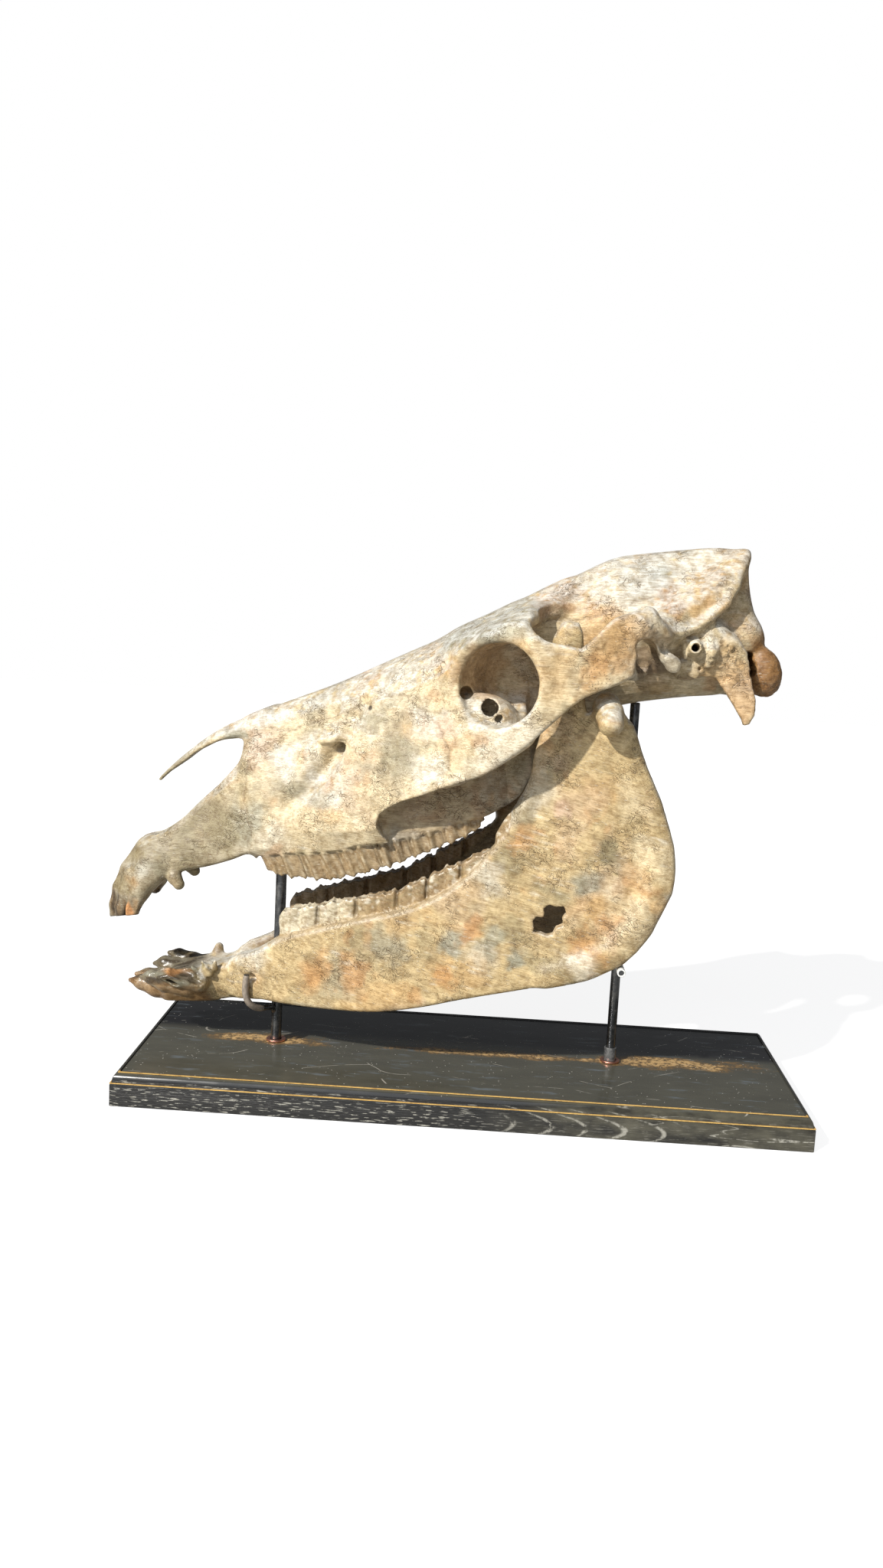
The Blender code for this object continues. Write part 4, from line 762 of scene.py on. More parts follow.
def add_ear(skull):
    """The mastoid, the bulge of the drum, and the ear's ring in its rough hollow."""
    skull.add(ellipsoid((347, 46, 117), (19, 12, 20)), 8)
    skull.add(ellipsoid((332, 45, 104), (13, 9, 8)), 4)
    skull.add(tube([(335, 46, 119), (335, 62, 120)], [9, 5.4]), 4)
    skull.add(tube([(346, 50, 123), (347, 57, 115), (344, 56, 107)], [7.5, 5.5, 2.4]), 3)
    skull.add(tube([(328, 50, 108), (335, 53, 99)], [5, 2.6]), 3)
    skull.add(tube([(329, 56, 126), (327.5, 59, 114)], [2.4, 2]), 1.5)
    skull.cut(tube([(335, 46, 119), (335, 74, 120.5)], [2.6, 3.3]), 0.8)
    skull.cut(tube([(321, 70, 128), (323, 64, 119), (324, 58, 110)], [2.4, 3.6, 2.2]), 1.5)
    skull.cut(tube([(341, 68, 109), (338, 52, 104)], [1.8, 1.6]), 1)
    skull.cut(tube([(288, 38, 96), (304, 41, 98), (319, 42, 100)], [2.5, 3.6, 2.5]), 1.5)


def add_underside(skull):
    """The pterygoid plates beside the choana."""
    wing = [(172, 34), (196, 30), (212, 36), (232, 56), (262, 76), (262, 92), (172, 80)]
    skull.add(plate(wing, lambda x, z: 24 - 0.05 * (x - 172), lambda x, z: 2.6 + 0 * x, 2), 5)


def add_nose(skull):
    """The incisive bones and nasals, hollowed out, and the opening above the cheek teeth."""
    skull.add(premaxilla(), 9)
    skull.add(nasal_roof(), 5)
    skull.cut(nasal_cavity(), 3)
    add_infraorbital_foramen(skull)


def add_infraorbital_foramen(skull):
    """The nerve's opening under its brow, and the groove that runs down and forward from it."""
    skull.cut(ellipsoid((44, 56, 62), (34, 10, 12), 34), 10)
    skull.cut(ellipsoid((24, 40, 84), (40, 6, 9), 16), 12)
    skull.add(tube([(56, 43, 79), (66, 42, 79), (75, 41, 76)], [2.4, 3.2, 2.4]), 4)
    skull.cut(tube([(38, 54, 44), (50, 50, 55), (61, 46, 66), (69, 43, 72)], [9, 8.4, 6.4, 3.4]), 7)
    skull.cut(tube([(60, 46, 68), (68, 42, 72), (78, 37, 73)], [3.6, 3.8, 3]), 1)
    skull.cut(tube([(76, 50, 84), (83, 49.5, 94), (90, 47, 103)], [3, 4, 3]), 8)


def tooth_row(bone, spans, leans, outer_line, width, cheek_side, tongue_side, low, high):
    """Cheek teeth from the front to the back, between the heights low and high."""
    for (first, last), lean in zip(spans, leans):
        tooth = tooth_column(
            first, last, outer_line, width, cheek_side, tongue_side, low, high, lean
        )
        bone.add(tooth, 0.6)


def cusps(x):
    """How far the edge of a row of cheek teeth falls short of its points."""
    return 2.2 * np.abs(np.sin(np.pi * x / 9.7)) + 0.9 * np.abs(np.sin(np.pi * x / 3.9 + 0.6))


def biting_edge():
    """Everything under the upper front teeth's level ends."""
    return below(lambda x, side: 0.19 * side - 49, (-150, 0, -70), (-95, 60, -38))


def add_upper_front_teeth(skull):
    """The bone over the roots narrows to the crowns, which curve down to one level edge."""
    for path, radii in (
        ([(-98, 5, 3), (-113, 7, -12), (-123, 7.5, -25), (-129, 7.5, -38)], [11, 9.5, 7.4, 5.2]),
        ([(-94, 14, -3), (-106, 18, -14), (-115, 20, -26), (-121, 20, -37)], [11, 9, 7.2, 4.8]),
        ([(-88, 19, -7), (-96, 23, -17), (-103, 26.5, -27), (-107, 28, -33)], [10, 8.2, 6.8, 5.2]),
    ):
        skull.add(tube(path, radii), 8)
    for path, radii in (
        ([(-123, 7.5, -26), (-129, 7.5, -38), (-132, 7.5, -52)], [6.6, 6, 4.8]),
        ([(-115, 20, -27), (-121, 20.3, -38), (-124, 20, -52)], [6.2, 5.4, 4.4]),
        ([(-103, 27, -27), (-107, 28, -34)], [6.2, 5.2]),
    ):
        skull.add(tube(path, radii), 1.5)
    corner_tooth = tube([(-105, 27.6, -30), (-110, 28.2, -38), (-114, 28, -52)], [5.6, 5.2, 4.6])
    skull.add(corner_tooth, 1.5, left=True)
    skull.cut(biting_edge(), 0.8)
    skull.cut(biting_edge(), 0.8, left=True)
    skull.cut(tube([(-108, 36.5, -31), (-114, 37, -50)], [5.2, 5.6]), 0.8, left=True)
    skull.add(tube([(-77, 22.5, -12), (-75, 24.6, -17.5), (-72, 26, -23)], [4.6, 5.4, 4.5]), 2)


def add_upper_teeth(skull):
    add_upper_front_teeth(skull)
    tooth_row(
        skull, UPPER_TEETH, UPPER_LEAN, UPPER_OUTER, 24, UPPER_CHEEK_FOLDS, UPPER_TONGUE_FOLDS,
        lambda x, side: UPPER_TIPS(x) + cusps(x) - 0.8,
        lambda x, side: GUM(x) + 2.2 + 0.9 * np.sin(x / 1.7),
    )


def break_left_orbit_floor(skull):
    for centre, radii in (
        ((167, 66, 105), (6, 12, 5)),
        ((183, 66, 91), (8, 14, 8)),
        ((188, 66, 84), (7, 12, 7)),
        ((178, 54, 90), (17, 10, 12)),
    ):
        skull.cut(ellipsoid(centre, radii), 0.8, left=True)


def cranium_sculpture():
    skull = Sculpture()
    skull.add(face(), 0)
    skull.cut(below_gum(), 1)
    skull.cut(cheek_hollow(), 1.5)
    cut_eye_and_temple_spaces(skull)
    skull.add(braincase(), 10)
    add_orbit(skull)
    add_jaw_joint(skull)
    add_back_of_skull(skull)
    add_underside(skull)
    add_nose(skull)
    add_upper_teeth(skull)
    break_left_orbit_floor(skull)
    return skull


# ------------------------------------------------------------------ mandible
# Its frame is the ground's, in millimetres: x runs back and z up from the base's underside.

JAW_MIDDLE = curve(
    (-200, 13), (-170, 21), (-140, 29.5), (-100, 37), (-50, 45.5), (0, 54), (40, 60.5), (90, 66),
    (150, 67),
)
JAW_HALF = curve(
    (-200, 8), (-170, 9), (-140, 11), (-60, 12.5), (-10, 12), (25, 8), (50, 5), (150, 4.5)
)
LOWER_TIPS = curve(
    (-152, 132), (-146, 141), (-133, 145.5), (-115, 150.5), (-90, 157), (-72, 162), (-58, 166),
    (-35, 178.5), (-15, 189.5), (4, 200), (14, 204.5), (23, 207),
)
LOWER_TEETH = [(-148, -117), (-117.4, -87), (-87.4, -56), (-56.4, -33.5), (-34, -8.5), (-9, 23)]
LOWER_CHEEK_FOLDS = [
    (0.0, -2.6), (0.09, -0.4), (0.28, 0.5), (0.45, -0.3), (0.52, -1.3),
    (0.59, -0.3), (0.75, 0.5), (0.91, -0.4), (1.0, -2.6),
]
LOWER_TONGUE_FOLDS = [
    (0.0, -4), (0.15, 0.3), (0.3, -1), (0.5, 0.5), (0.66, -1.5), (0.85, 0), (1.0, -4),
]


def jaw_middle(x, z):
    """The side distance of the jaw plate's middle, which flares out towards the joint."""
    flare = np.clip((z - 235) / 75, 0, 1) ** 1.5 * np.clip((x - 40) / 50, 0, 1)
    return JAW_MIDDLE(x) + 9 * flare


def jaw_half(x, z):
    return JAW_HALF(x) - 1.5 * np.clip((110 - z) / 40, 0, 1) * (x < 0)


def along_jaw(path):
    """Side-view points (x, z) placed in the middle of the jaw plate."""
    return [(x, float(jaw_middle(x, z)), z) for x, z in path]


def jaw_plate():
    outline = [
        (-186, 67), (-160, 67), (-110, 67), (-66, 70), (-35, 77), (0, 88), (45, 99), (85, 109),
        (106, 119), (124, 134), (138, 160), (148, 190), (145, 216), (134, 246), (119, 276),
        (109, 302), (103, 309), (90, 309), (76, 310), (74, 330), (71, 354), (66, 373), (55, 373),
        (49, 362), (47, 330), (47, 297), (41, 277), (40, 250), (31, 228), (14, 205), (4, 191.5),
        (-10, 177), (-30, 162.5), (-54, 151), (-84, 142), (-114, 132), (-144, 121), (-164, 107),
        (-186, 96),
    ]
    return plate(outline, jaw_middle, jaw_half, 5, 8)


def jaw_front():
    """The joined front of the jaw, hollow along its top."""
    top = curve((-262, 72), (-250, 78), (-240, 84), (-225, 90), (-203, 94), (-183, 97), (-160, 98))
    low = curve((-262, 64), (-252, 60), (-239, 56), (-208, 56.5), (-186, 61), (-160, 66))
    half = curve((-262, 14), (-246, 22), (-234, 25.5), (-218, 26), (-200, 21.5), (-185, 21), (-160, 30))
    section = [
        midline(lambda x: top(x) - 5),
        (lambda x: 0.75 * half(x), lambda x: top(x) + 1),
        (half, lambda x: 0.22 * low(x) + 0.78 * top(x)),
        (lambda x: 0.85 * half(x), lambda x: 0.8 * low(x) + 0.2 * top(x)),
        (lambda x: 0.4 * half(x), low),
        midline(low),
    ]
    return loft(section, (-247, -164), (50, 106), 36, 3.5, 10)


def add_jaw_margins(jaw):
    """The thick borders behind and in front of the ramus, and the condyle's bar."""
    rim = [
        (60, 111), (86, 121.5), (107, 134), (124, 155), (135, 182), (133, 212), (123, 244),
        (109, 274), (98, 296),
    ]
    jaw.add(tube(along_jaw(rim), [4, 5.5, 6.5, 7, 7, 6.5, 6, 6, 7]), 12)
    front = [(20, 215), (36, 240), (47, 262), (53, 300), (58, 340), (61, 366)]
    jaw.add(tube(along_jaw(front), [4, 5, 5, 5, 4.6, 4.5]), 8)
    jaw.add(tube([(90, 56, 314), (90, 70, 315), (91, 82, 311), (92, 92, 304)], [8, 9.5, 10, 9]), 6)


def lower_grinding_surface(x, side):
    """Pointed at its edges, and worn down between them."""
    across = np.clip((side - JAW_MIDDLE(x) + 2.2) / 7.7, -1, 1)
    return LOWER_TIPS(x) + 1 - cusps(x) - 2.2 * (1 - across**2)


def add_lower_teeth(jaw):
    tooth_row(
        jaw, LOWER_TEETH, [0.0] * 6, lambda x: JAW_MIDDLE(x) + 5.5, 15.5, LOWER_CHEEK_FOLDS,
        LOWER_TONGUE_FOLDS, lambda x, side: LOWER_TIPS(x) - 45, lower_grinding_surface,
    )
    for path, radii in (
        ([(-232, 9, 66.5), (-248, 9.5, 67), (-261, 9, 69), (-270.5, 8.5, 70)], [10.5, 9.3, 6.2, 1.8]),
        ([(-222, 17, 71), (-240, 19, 74), (-250, 20, 77), (-258.5, 19.5, 76.5)], [9, 8, 6, 1.8]),
        ([(-212, 21, 76), (-228, 24.5, 79), (-240, 26.5, 83), (-248, 26, 84.5)], [8.5, 7.4, 5.2, 1.8]),
    ):
        jaw.add(tube(path, radii), 1)
    jaw.cut(ellipsoid((-238, 0, 95), (22, 12, 14)), 3)
    jaw.add(tube([(-206, 19, 86), (-205, 19.5, 94)], [6, 3.4]), 3)


def break_left_front_of_jaw(jaw):
    """The left corner tooth is broken down to its hollow root, and the canine to a rough stump."""
    for centre, radii, tilt in (
        ((-246, 30, 91), (20, 9, 10.5), 6),
        ((-224, 27, 84), (12, 8, 4.2), -12),
        ((-214, 27, 78.5), (7, 5, 2.6), -20),
        ((-231, 29, 77), (6, 4, 1.8), -24),
        ((-204, 21, 101), (9, 10, 10), 0),
    ):
        jaw.cut(ellipsoid(centre, radii, tilt), 0.6, left=True)
    for root, tip in (
        ((-206, 22, 87), (-209, 23.5, 93)),
        ((-200, 22, 88), (-199, 23, 94)),
        ((-213, 22, 84), (-217, 24, 88.5)),
        ((-203, 24, 84), (-205, 26, 89)),
    ):
        jaw.add(tube([root, tip], [2.8, 1.3]), 1, left=True)


def break_left_side_of_jaw(jaw):
    """The jagged double hole through the left ramus, and the breaks at the front."""
    hole = [
        (46.5, 152), (49, 156), (54, 155.5), (55, 159), (54, 162.5), (58, 166), (63, 164.5), (69, 165.5),
        (71, 160), (68.5, 155.5), (69.5, 151), (64, 148.5), (62, 143.5), (58, 142), (53, 143.5),
        (47.5, 144), (48, 148),
    ]
    through = plate(hole, lambda x, z: 65 + 0 * x, lambda x, z: 25 + 0 * x, 0.5, 3)
    jaw.cut(through, 0.5, left=True)
    break_left_front_of_jaw(jaw)


def mandible_sculpture():
    jaw = Sculpture()
    jaw.add(jaw_plate(), 0)
    jaw.add(jaw_front(), 9)
    add_jaw_margins(jaw)
    add_lower_teeth(jaw)
    jaw.cut(tube([(-176, 34, 84), (-166, 27, 84)], [4, 3]), 3)
    break_left_side_of_jaw(jaw)
    return jaw


# ------------------------------------------------------------------ noise and drawing on surfaces


def smoothstep(low, high, value):
    t = np.clip((value - low) / (high - low), 0, 1)
    return t * t * (3 - 2 * t)


def noise(points, size, seed):
    """Smooth random values from -1 to 1 that change over about size, which may differ by axis."""
    q = points / size + 31.7 * seed
    cell = np.floor(q).astype(np.int64)
    ease = q - cell
    ease = ease * ease * (3 - 2 * ease)
    total = np.zeros(len(points))
    for corner in np.ndindex(2, 2, 2):
        x, y, z = (cell + corner).T
        mixed = (x * 73856093) ^ (y * 19349663) ^ (z * 83492791) ^ (seed * 2654435761)
        mixed = ((mixed ^ (mixed >> 13)) * 1274126177) & 0x7FFFFFFF
        value = ((mixed ^ (mixed >> 15)) & 0xFFFF) / 32767.5 - 1
        share = np.where(corner, ease, 1 - ease)
        total += value * share.prod(1)
    return total


LAYERS = 3  # how many noises, each half as wide as the last, make layered noise
FADE = 0.55  # the strength of each layer beside the one before


def layered_noise(points, size, seed):
    """Noise with finer and weaker noise added to it."""
    total, weight = np.zeros(len(points)), 0
    for layer in range(LAYERS):
        share = FADE**layer
        total += share * noise(points, np.asarray(size) / 2**layer, seed + layer)
        weight += share
    return total / weight * 1.6


def path_distance(u, v, path):
    """How far the flat places (u, v) are from a line of straight pieces."""
    best = np.full(len(u), 1e9)
    for (ua, va), (ub, vb) in zip(path[:-1], path[1:]):
        eu, ev = ub - ua, vb - va
        t = np.clip(((u - ua) * eu + (v - va) * ev) / (eu * eu + ev * ev), 0, 1)
        best = np.minimum(best, np.hypot(u - ua - t * eu, v - va - t * ev))
    return best


# ------------------------------------------------------------------ a mesh's own measures


def face_normals(points, faces):
    a, b, c, d = (points[faces[:, i]] for i in range(4))
    return np.cross(c - a, d - b)


def gathered(count, faces, values):
    """The sum, at each point, of its faces' values."""
    return np.stack(
        [
            sum(np.bincount(faces[:, i], values[:, axis], count) for i in range(4))
            for axis in range(values.shape[1])
        ],
        1,
    )


def point_normals(points, faces):
    total = gathered(len(points), faces, face_normals(points, faces))
    return total / (np.linalg.norm(total, axis=1, keepdims=True) + 1e-12)


def smoothed(points, faces, amount, rounds):
    """Evens out the points, by the share amount, without shrinking the shape."""
    shares = gathered(len(points), faces, np.ones((len(faces), 1)))
    for _ in range(rounds):
        for strength in (0.5, -0.52):
            middles = gathered(len(points), faces, points[faces].mean(1)) / shares
            points = points + strength * amount[:, None] * (middles - points)
    return points


def read_grid(grid, start, voxel, points):
    """The grid's values at points, between its own by straight lines."""
    q = np.clip((points - start) / voxel, 0, np.array(grid.shape) - 1.001)
    cell = q.astype(int)
    t = q - cell
    total = np.zeros(len(points))
    for corner in np.ndindex(2, 2, 2):
        share = np.where(corner, t, 1 - t).prod(1)
        total += share * grid[tuple((cell + corner).T)]
    return total


def crowding(grid, start, voxel, points, normals, cell_size, blur):
    """The share of bone in the space just outside each point: high in hollows, low on edges."""
    step = max(1, round(cell_size / voxel))
    solid = (grid[::step, ::step, ::step] < 0).astype(float)
    for _ in range(blur):
        for axis in range(3):
            solid = np.moveaxis(solid, axis, 0)
            solid[1:-1] = (solid[:-2] + solid[1:-1] + solid[2:]) / 3
            solid = np.moveaxis(solid, 0, axis)
    reach = 0.9 * step * voxel * np.sqrt(blur)
    return read_grid(solid, start, step * voxel, points + reach * normals)


# ------------------------------------------------------------------ the bones' fine relief


SUTURE_WIDTH = 0.7
SUTURE_SWAY = 1.6  # how far a suture wanders from its path


def zigzag(points, normals, path, sides):
    """A suture: 1 along a wavy line near path, in (x, z), on what faces sideways, or with sides
    False in (x, y), on what faces up, and 0 away from it."""
    reach = 3 * SUTURE_WIDTH + 2 * SUTURE_SWAY
    places = points[:, (0, 2)] if sides else np.stack([points[:, 0], np.abs(points[:, 1])], 1)
    facing = np.abs(normals[:, 1]) if sides else normals[:, 2]
    near = (path_distance(*places.T, path) < reach) & (facing > 0.2)
    line = np.zeros(len(points))
    wander = [noise(points[near], 3.2, 5 + axis) for axis in range(2)]
    away = path_distance(*(places[near] + SUTURE_SWAY * np.stack(wander, 1)).T, path)
    line[near] = smoothstep(0.2, 0.5, facing[near]) * np.exp(-((away / SUTURE_WIDTH) ** 2))
    return line


SIDE_SUTURES = (
    [(14, 91), (28, 88), (50, 92), (82, 100), (106, 107), (122, 109)],  # nasal and maxilla
    [(-4, 68), (-12, 40), (-8, 14), (-14, -4)],  # incisive bone and maxilla
    [(122, 109), (134, 96), (146, 84), (152, 66), (150, 52)],  # lacrimal, zygomatic and maxilla
    [(134, 96), (150, 92), (160, 94)],  # lacrimal and zygomatic
    [(246, 101), (256, 116), (250, 130)],  # zygomatic and temporal
    [(232, 150), (262, 148), (300, 158), (340, 160), (368, 162)],  # parietal and squamous
)
TOP_SUTURES = (
    [(-70, 0.4), (60, 0.4), (146, 0.4), (240, 0.4), (290, 0.4)],  # between the two halves
    [(146, 0), (140, 14), (128, 30), (120, 42)],  # nasal and frontal
    [(262, 6), (258, 22), (250, 36)],  # frontal and parietal
)


def sutures(points, normals):
    """1 along all the sutures, 0 away from them."""
    line = np.zeros(len(points))
    for paths, sides in ((SIDE_SUTURES, True), (TOP_SUTURES, False)):
        for path in paths:
            line = np.maximum(line, zigzag(points, normals, path, sides))
    return line


def relief_of_bone(points):
    """Grain along the bone, low lumps and short cracks, as heights in millimetres."""
    height = 0.06 * noise(points, np.array((9.0, 2.2, 2.2)), 11)
    height += 0.07 * noise(points, 7.0, 12) + 0.16 * noise(points, 19.0, 13)
    bent = points + 2.0 * noise(points, 9.0, 14)[:, None]
    streak = np.abs(noise(bent, np.array((16.0, 3.4, 3.4)), 15))
    where = smoothstep(0.1, 0.5, noise(points, 30.0, 16))
    return height - 0.3 * where * (1 - smoothstep(0.02, 0.1, streak))


FACE_FOLDS = (  # a line in (x, z), its half width and its height, under 0 for a furrow
    ([(72, 73), (56, 57), (40, 43), (22, 31)], 4.2, -1.9),  # down and forward from the opening
    ([(60, 74), (44, 60), (28, 48), (8, 38)], 5.5, 1.2),
    ([(76, 64), (60, 44), (44, 26)], 7.0, 0.9),
    ([(70, 73), (78, 92), (86, 108)], 4.5, -0.9),
    ([(-60, 14), (-48, 28), (-36, 46)], 7.0, -1.3),
    ([(-20, 60), (10, 76), (50, 92)], 9.0, 0.7),
)


def furrows(points, normals, lines):
    """Heights along lines in (x, z), on what faces sideways."""
    height = np.zeros(len(points))
    for path, width, rise in lines:
        away = path_distance(points[:, 0], points[:, 2], path)
        height += rise * np.exp(-((away / width) ** 2))
    return height * smoothstep(0.15, 0.45, np.abs(normals[:, 1]))


def tooth_borders(x, teeth):
    """1 where one tooth of the row ends and the next starts, 0 a little away from there."""
    ends = np.array([(first[1] + second[0]) / 2 for first, second in zip(teeth[:-1], teeth[1:])])
    away = np.abs(x[:, None] - ends).min(axis=1)
    return np.exp(-((away / 1.2) ** 2))


def shares_away(points, centre, reach):
    """How far the points are from centre or its mirror place, measured in reaches."""
    mirrored = np.stack([points[:, 0], np.abs(points[:, 1]), points[:, 2]], 1)
    return np.linalg.norm((mirrored - centre) / reach, axis=1)


def roughened(points, centre, reach, depth, seed):
    """Spongy lumps and holes within reach of centre, on both sides, as heights."""
    away = shares_away(points, centre, reach)
    near = away < 1.1
    height = np.zeros(len(points))
    q = points[near]
    sponge = 0.6 * noise(q, 3.6, seed) - 0.7 * smoothstep(0.1, 0.6, noise(q, 2.6, seed + 1))
    height[near] = depth * sponge * (1 - smoothstep(0.7, 1.1, away[near]))
    return height


# ------------------------------------------------------------------ colours of the bone

IVORY = (0.6, 0.57, 0.49)
CHALK = (0.57, 0.53, 0.42)
SKY_SHEEN = (0.55, 0.575, 0.585)
CREAM = (0.56, 0.47, 0.31)
BISCUIT = (0.55, 0.42, 0.25)
TAN = (0.47, 0.365, 0.2)
PINK = (0.5, 0.36, 0.26)
OCHRE = (0.5, 0.33, 0.15)
ORANGE = (0.55, 0.27, 0.11)
RUST = (0.46, 0.23, 0.08)
BRICK = (0.42, 0.21, 0.08)
CARAMEL = (0.4, 0.24, 0.1)
LEATHER = (0.42, 0.27, 0.14)
TOFFEE = (0.4, 0.28, 0.16)
SAND = (0.36, 0.27, 0.145)
CHESTNUT = (0.3, 0.17, 0.07)
RUSSET = (0.24, 0.115, 0.03)
TEETH = (0.26, 0.185, 0.1)
DRAB = (0.235, 0.195, 0.115)
OLIVE = (0.22, 0.19, 0.11)
SLATE = (0.25, 0.26, 0.215)
WALNUT = (0.2, 0.135, 0.07)
UMBER = (0.15, 0.095, 0.05)
PEAT = (0.13, 0.08, 0.04)
HORN = (0.1, 0.088, 0.058)
SOOT = (0.03, 0.021, 0.014)


def blended(colours, tint, share):
    """The colours with the tint mixed in by the share, point by point."""
    return colours + np.clip(share, 0, 1)[:, None] * (np.array(tint) - colours)


def painted(colours, *coats):
    """The colours under coats of paint, each a tint and its share."""
    for tint, share in coats:
        colours = blended(colours, tint, share)
    return colours


CLOUDS = (  # tint, size, seed, where the noise starts and ends to show it, the most it shows
    (IVORY, 46, 21, -0.05, 0.6, 0.6),
    (OCHRE, 34, 25, 0.05, 0.7, 0.55),
    (PINK, 42, 29, 0.15, 0.8, 0.35),
    (OLIVE, 30, 33, 0.15, 0.75, 0.5),
    (SLATE, 50, 37, 0.2, 0.85, 0.45),
    (RUST, 20, 41, 0.35, 0.9, 0.4),
)


def stippled(share, speckle):
    """The share with its edges broken up into specks."""
    return share * smoothstep(-0.8, 0.2, speckle + 1.2 * share - 0.4)


def fibres(points, slant, seed):
    """Light and dark streaks along the bone, from -1 to 1, which drop by slant for each step back."""
    q = points.copy()
    q[:, 2] += slant * q[:, 0] + 1.6 * noise(points, 13.0, seed)
    coarse = noise(q, np.array((15.0, 15.0, 2.5)), seed + 1)
    return 0.6 * (coarse + noise(q, np.array((7.0, 7.0, 1.4)), seed + 2))


def weathering(points, normals, ground, slant, patches):
    """The bone's clouds of colour over the ground colour: some by chance, and those of patches,
    each given as (x, z, size, tint, share) in the ground frame, on the animal's left side. Its
    grain drops by slant."""
    warp = points + 8 * np.stack([noise(points, 24.0, 60 + axis) for axis in range(3)], 1)
    warp += 2.5 * np.stack([noise(points, 7.0, 63 + axis) for axis in range(3)], 1)
    speckle = 0.6 * noise(points, 4.6, 66) + 0.5 * noise(points, 2.3, 67)
    colours = np.tile(np.array(ground), (len(points), 1))
    for tint, size, seed, low, high, most in CLOUDS:
        share = smoothstep(low, high, layered_noise(warp, size, seed))
        colours = blended(colours, tint, most * stippled(share, speckle))
    for x, z, size, tint, share in patches:
        away = np.hypot(warp[:, 0] - x, warp[:, 2] - z) / size
        near = (away < 1.4) & (points[:, 1] < 4)
        edge = away[near] + 0.3 * noise(points[near], 0.35 * size, 71)
        cover = stippled(1 - smoothstep(0.3, 1.15, edge), speckle[near])
        colours[near] = blended(colours[near], tint, share * cover)
    # painted highlight: a blue-white sheen of the sky on what faces up
    sky_sheen = smoothstep(0.1, 0.55, normals[:, 2]) * smoothstep(-0.5, 0.3, speckle + 0.2)
    colours = blended(colours, SKY_SHEEN, 0.6 * sky_sheen)
    blotch = layered_noise(warp, 12.0, 45)
    streak = fibres(points, slant, 49)
    pale = smoothstep(0.25, 0.75, fibres(points, slant, 53))
    pale = pale * smoothstep(-0.1, 0.5, noise(points, 26.0, 57))
    colours = blended(colours, IVORY, 0.55 * pale)
    return colours * (1 + 0.14 * blotch + 0.15 * streak + 0.1 * speckle)[:, None]


def inward_shade(points, normals):
    """How much a point faces the middle of the skull, where brown shade is painted on the bone."""
    inward = -normals[:, 1] * np.sign(points[:, 1])
    return smoothstep(0.25, 0.8, inward) * smoothstep(6, 14, np.abs(points[:, 1]))


# ------------------------------------------------------------------ materials


class Finish:
    """A node material. Each method makes a node, and takes sockets or plain values as inputs."""

    def __init__(self, name):
        self.material = bpy.data.materials.new(name)
        self.material.use_nodes = True
        self.tree = self.material.node_tree
        self.shader = self.tree.nodes["Principled BSDF"]
        self.place = self.put("TexCoord", output="Object")

    def join(self, socket, value):
        if isinstance(value, bpy.types.NodeSocket):
            self.tree.links.new(value, socket)
        else:
            socket.default_value = value

    def put(self, kind, inputs=(), output=0, **settings):
        made = self.tree.nodes.new("ShaderNode" + kind)
        for key, value in settings.items():
            setattr(made, key, value)
        for key, value in dict(inputs).items():
            self.join(made.inputs[key], value)
        return made.outputs[output]

    def surface(self, **inputs):
        for key, value in inputs.items():
            self.join(self.shader.inputs[key.replace("_", " ")], value)
        return self.material

    def scaled(self, size, turn=0.0, place=None):
        """The object's own coordinates, turned about Y in degrees and measured in sizes, in mm."""
        sizes = np.broadcast_to(size, 3) * MM
        mapping = {
            "Vector": place or self.place,
            "Rotation": (0, np.radians(turn), 0),
            "Scale": tuple(sizes),
        }
        return self.put("Mapping", mapping, vector_type="TEXTURE")

    def noise(self, where, detail, roughness=0.55, distortion=0.0):
        inputs = {
            "Vector": where, "Scale": 1.0, "Detail": detail, "Roughness": roughness,
            "Distortion": distortion,
        }
        return self.put("TexNoise", inputs)

    def cells(self, where, feature="F1"):
        return self.put("TexVoronoi", {"Vector": where, "Scale": 1.0}, "Distance", feature=feature)

    def ramp(self, value, low, high, start=0.0, end=1.0):
        inputs = {"Value": value, "From Min": low, "From Max": high, "To Min": start, "To Max": end}
        return self.put("MapRange", inputs, interpolation_type="SMOOTHSTEP")

    def math(self, operation, a, b=0.0):
        return self.put("Math", {0: a, 1: b}, operation=operation)

    def times(self, a, b):
        return self.math("MULTIPLY", a, b)

    def plus(self, a, b):
        return self.math("ADD", a, b)

    def minus(self, a, b):
        return self.math("SUBTRACT", a, b)

    def weighted(self, *terms):
        """The sum of the terms, each a value and its weight."""
        return reduce(self.plus, [self.times(value, weight) for value, weight in terms])

    def mix(self, share, a, b, blend="MIX"):
        colours = [(*c, 1) if isinstance(c, tuple) and len(c) == 3 else c for c in (a, b)]
        inputs = {"Fac": share, "Color1": colours[0], "Color2": colours[1]}
        return self.put("MixRGB", inputs, blend_type=blend)

    def coated(self, colour, *coats):
        """The colour under coats, each a mask, the most that it covers and a tint."""
        for mask, most, tint in coats:
            colour = self.mix(self.times(mask, most), colour, tint)
        return colour

    def attribute(self, name, output="Fac"):
        return self.put("Attribute", output=output, attribute_name=name)

    def bump(self, height, depth, strength=1.0):
        """The normal over a relief whose height runs from 0 to 1 over depth millimetres."""
        return self.put("Bump", {"Height": height, "Distance": depth * MM, "Strength": strength})


FLAKE = (0.74, 0.69, 0.58)
CRACK = (0.13, 0.08, 0.045)
PORE = (0.17, 0.11, 0.06)
DIRT_AND_SHADE = (0.085, 0.052, 0.028)


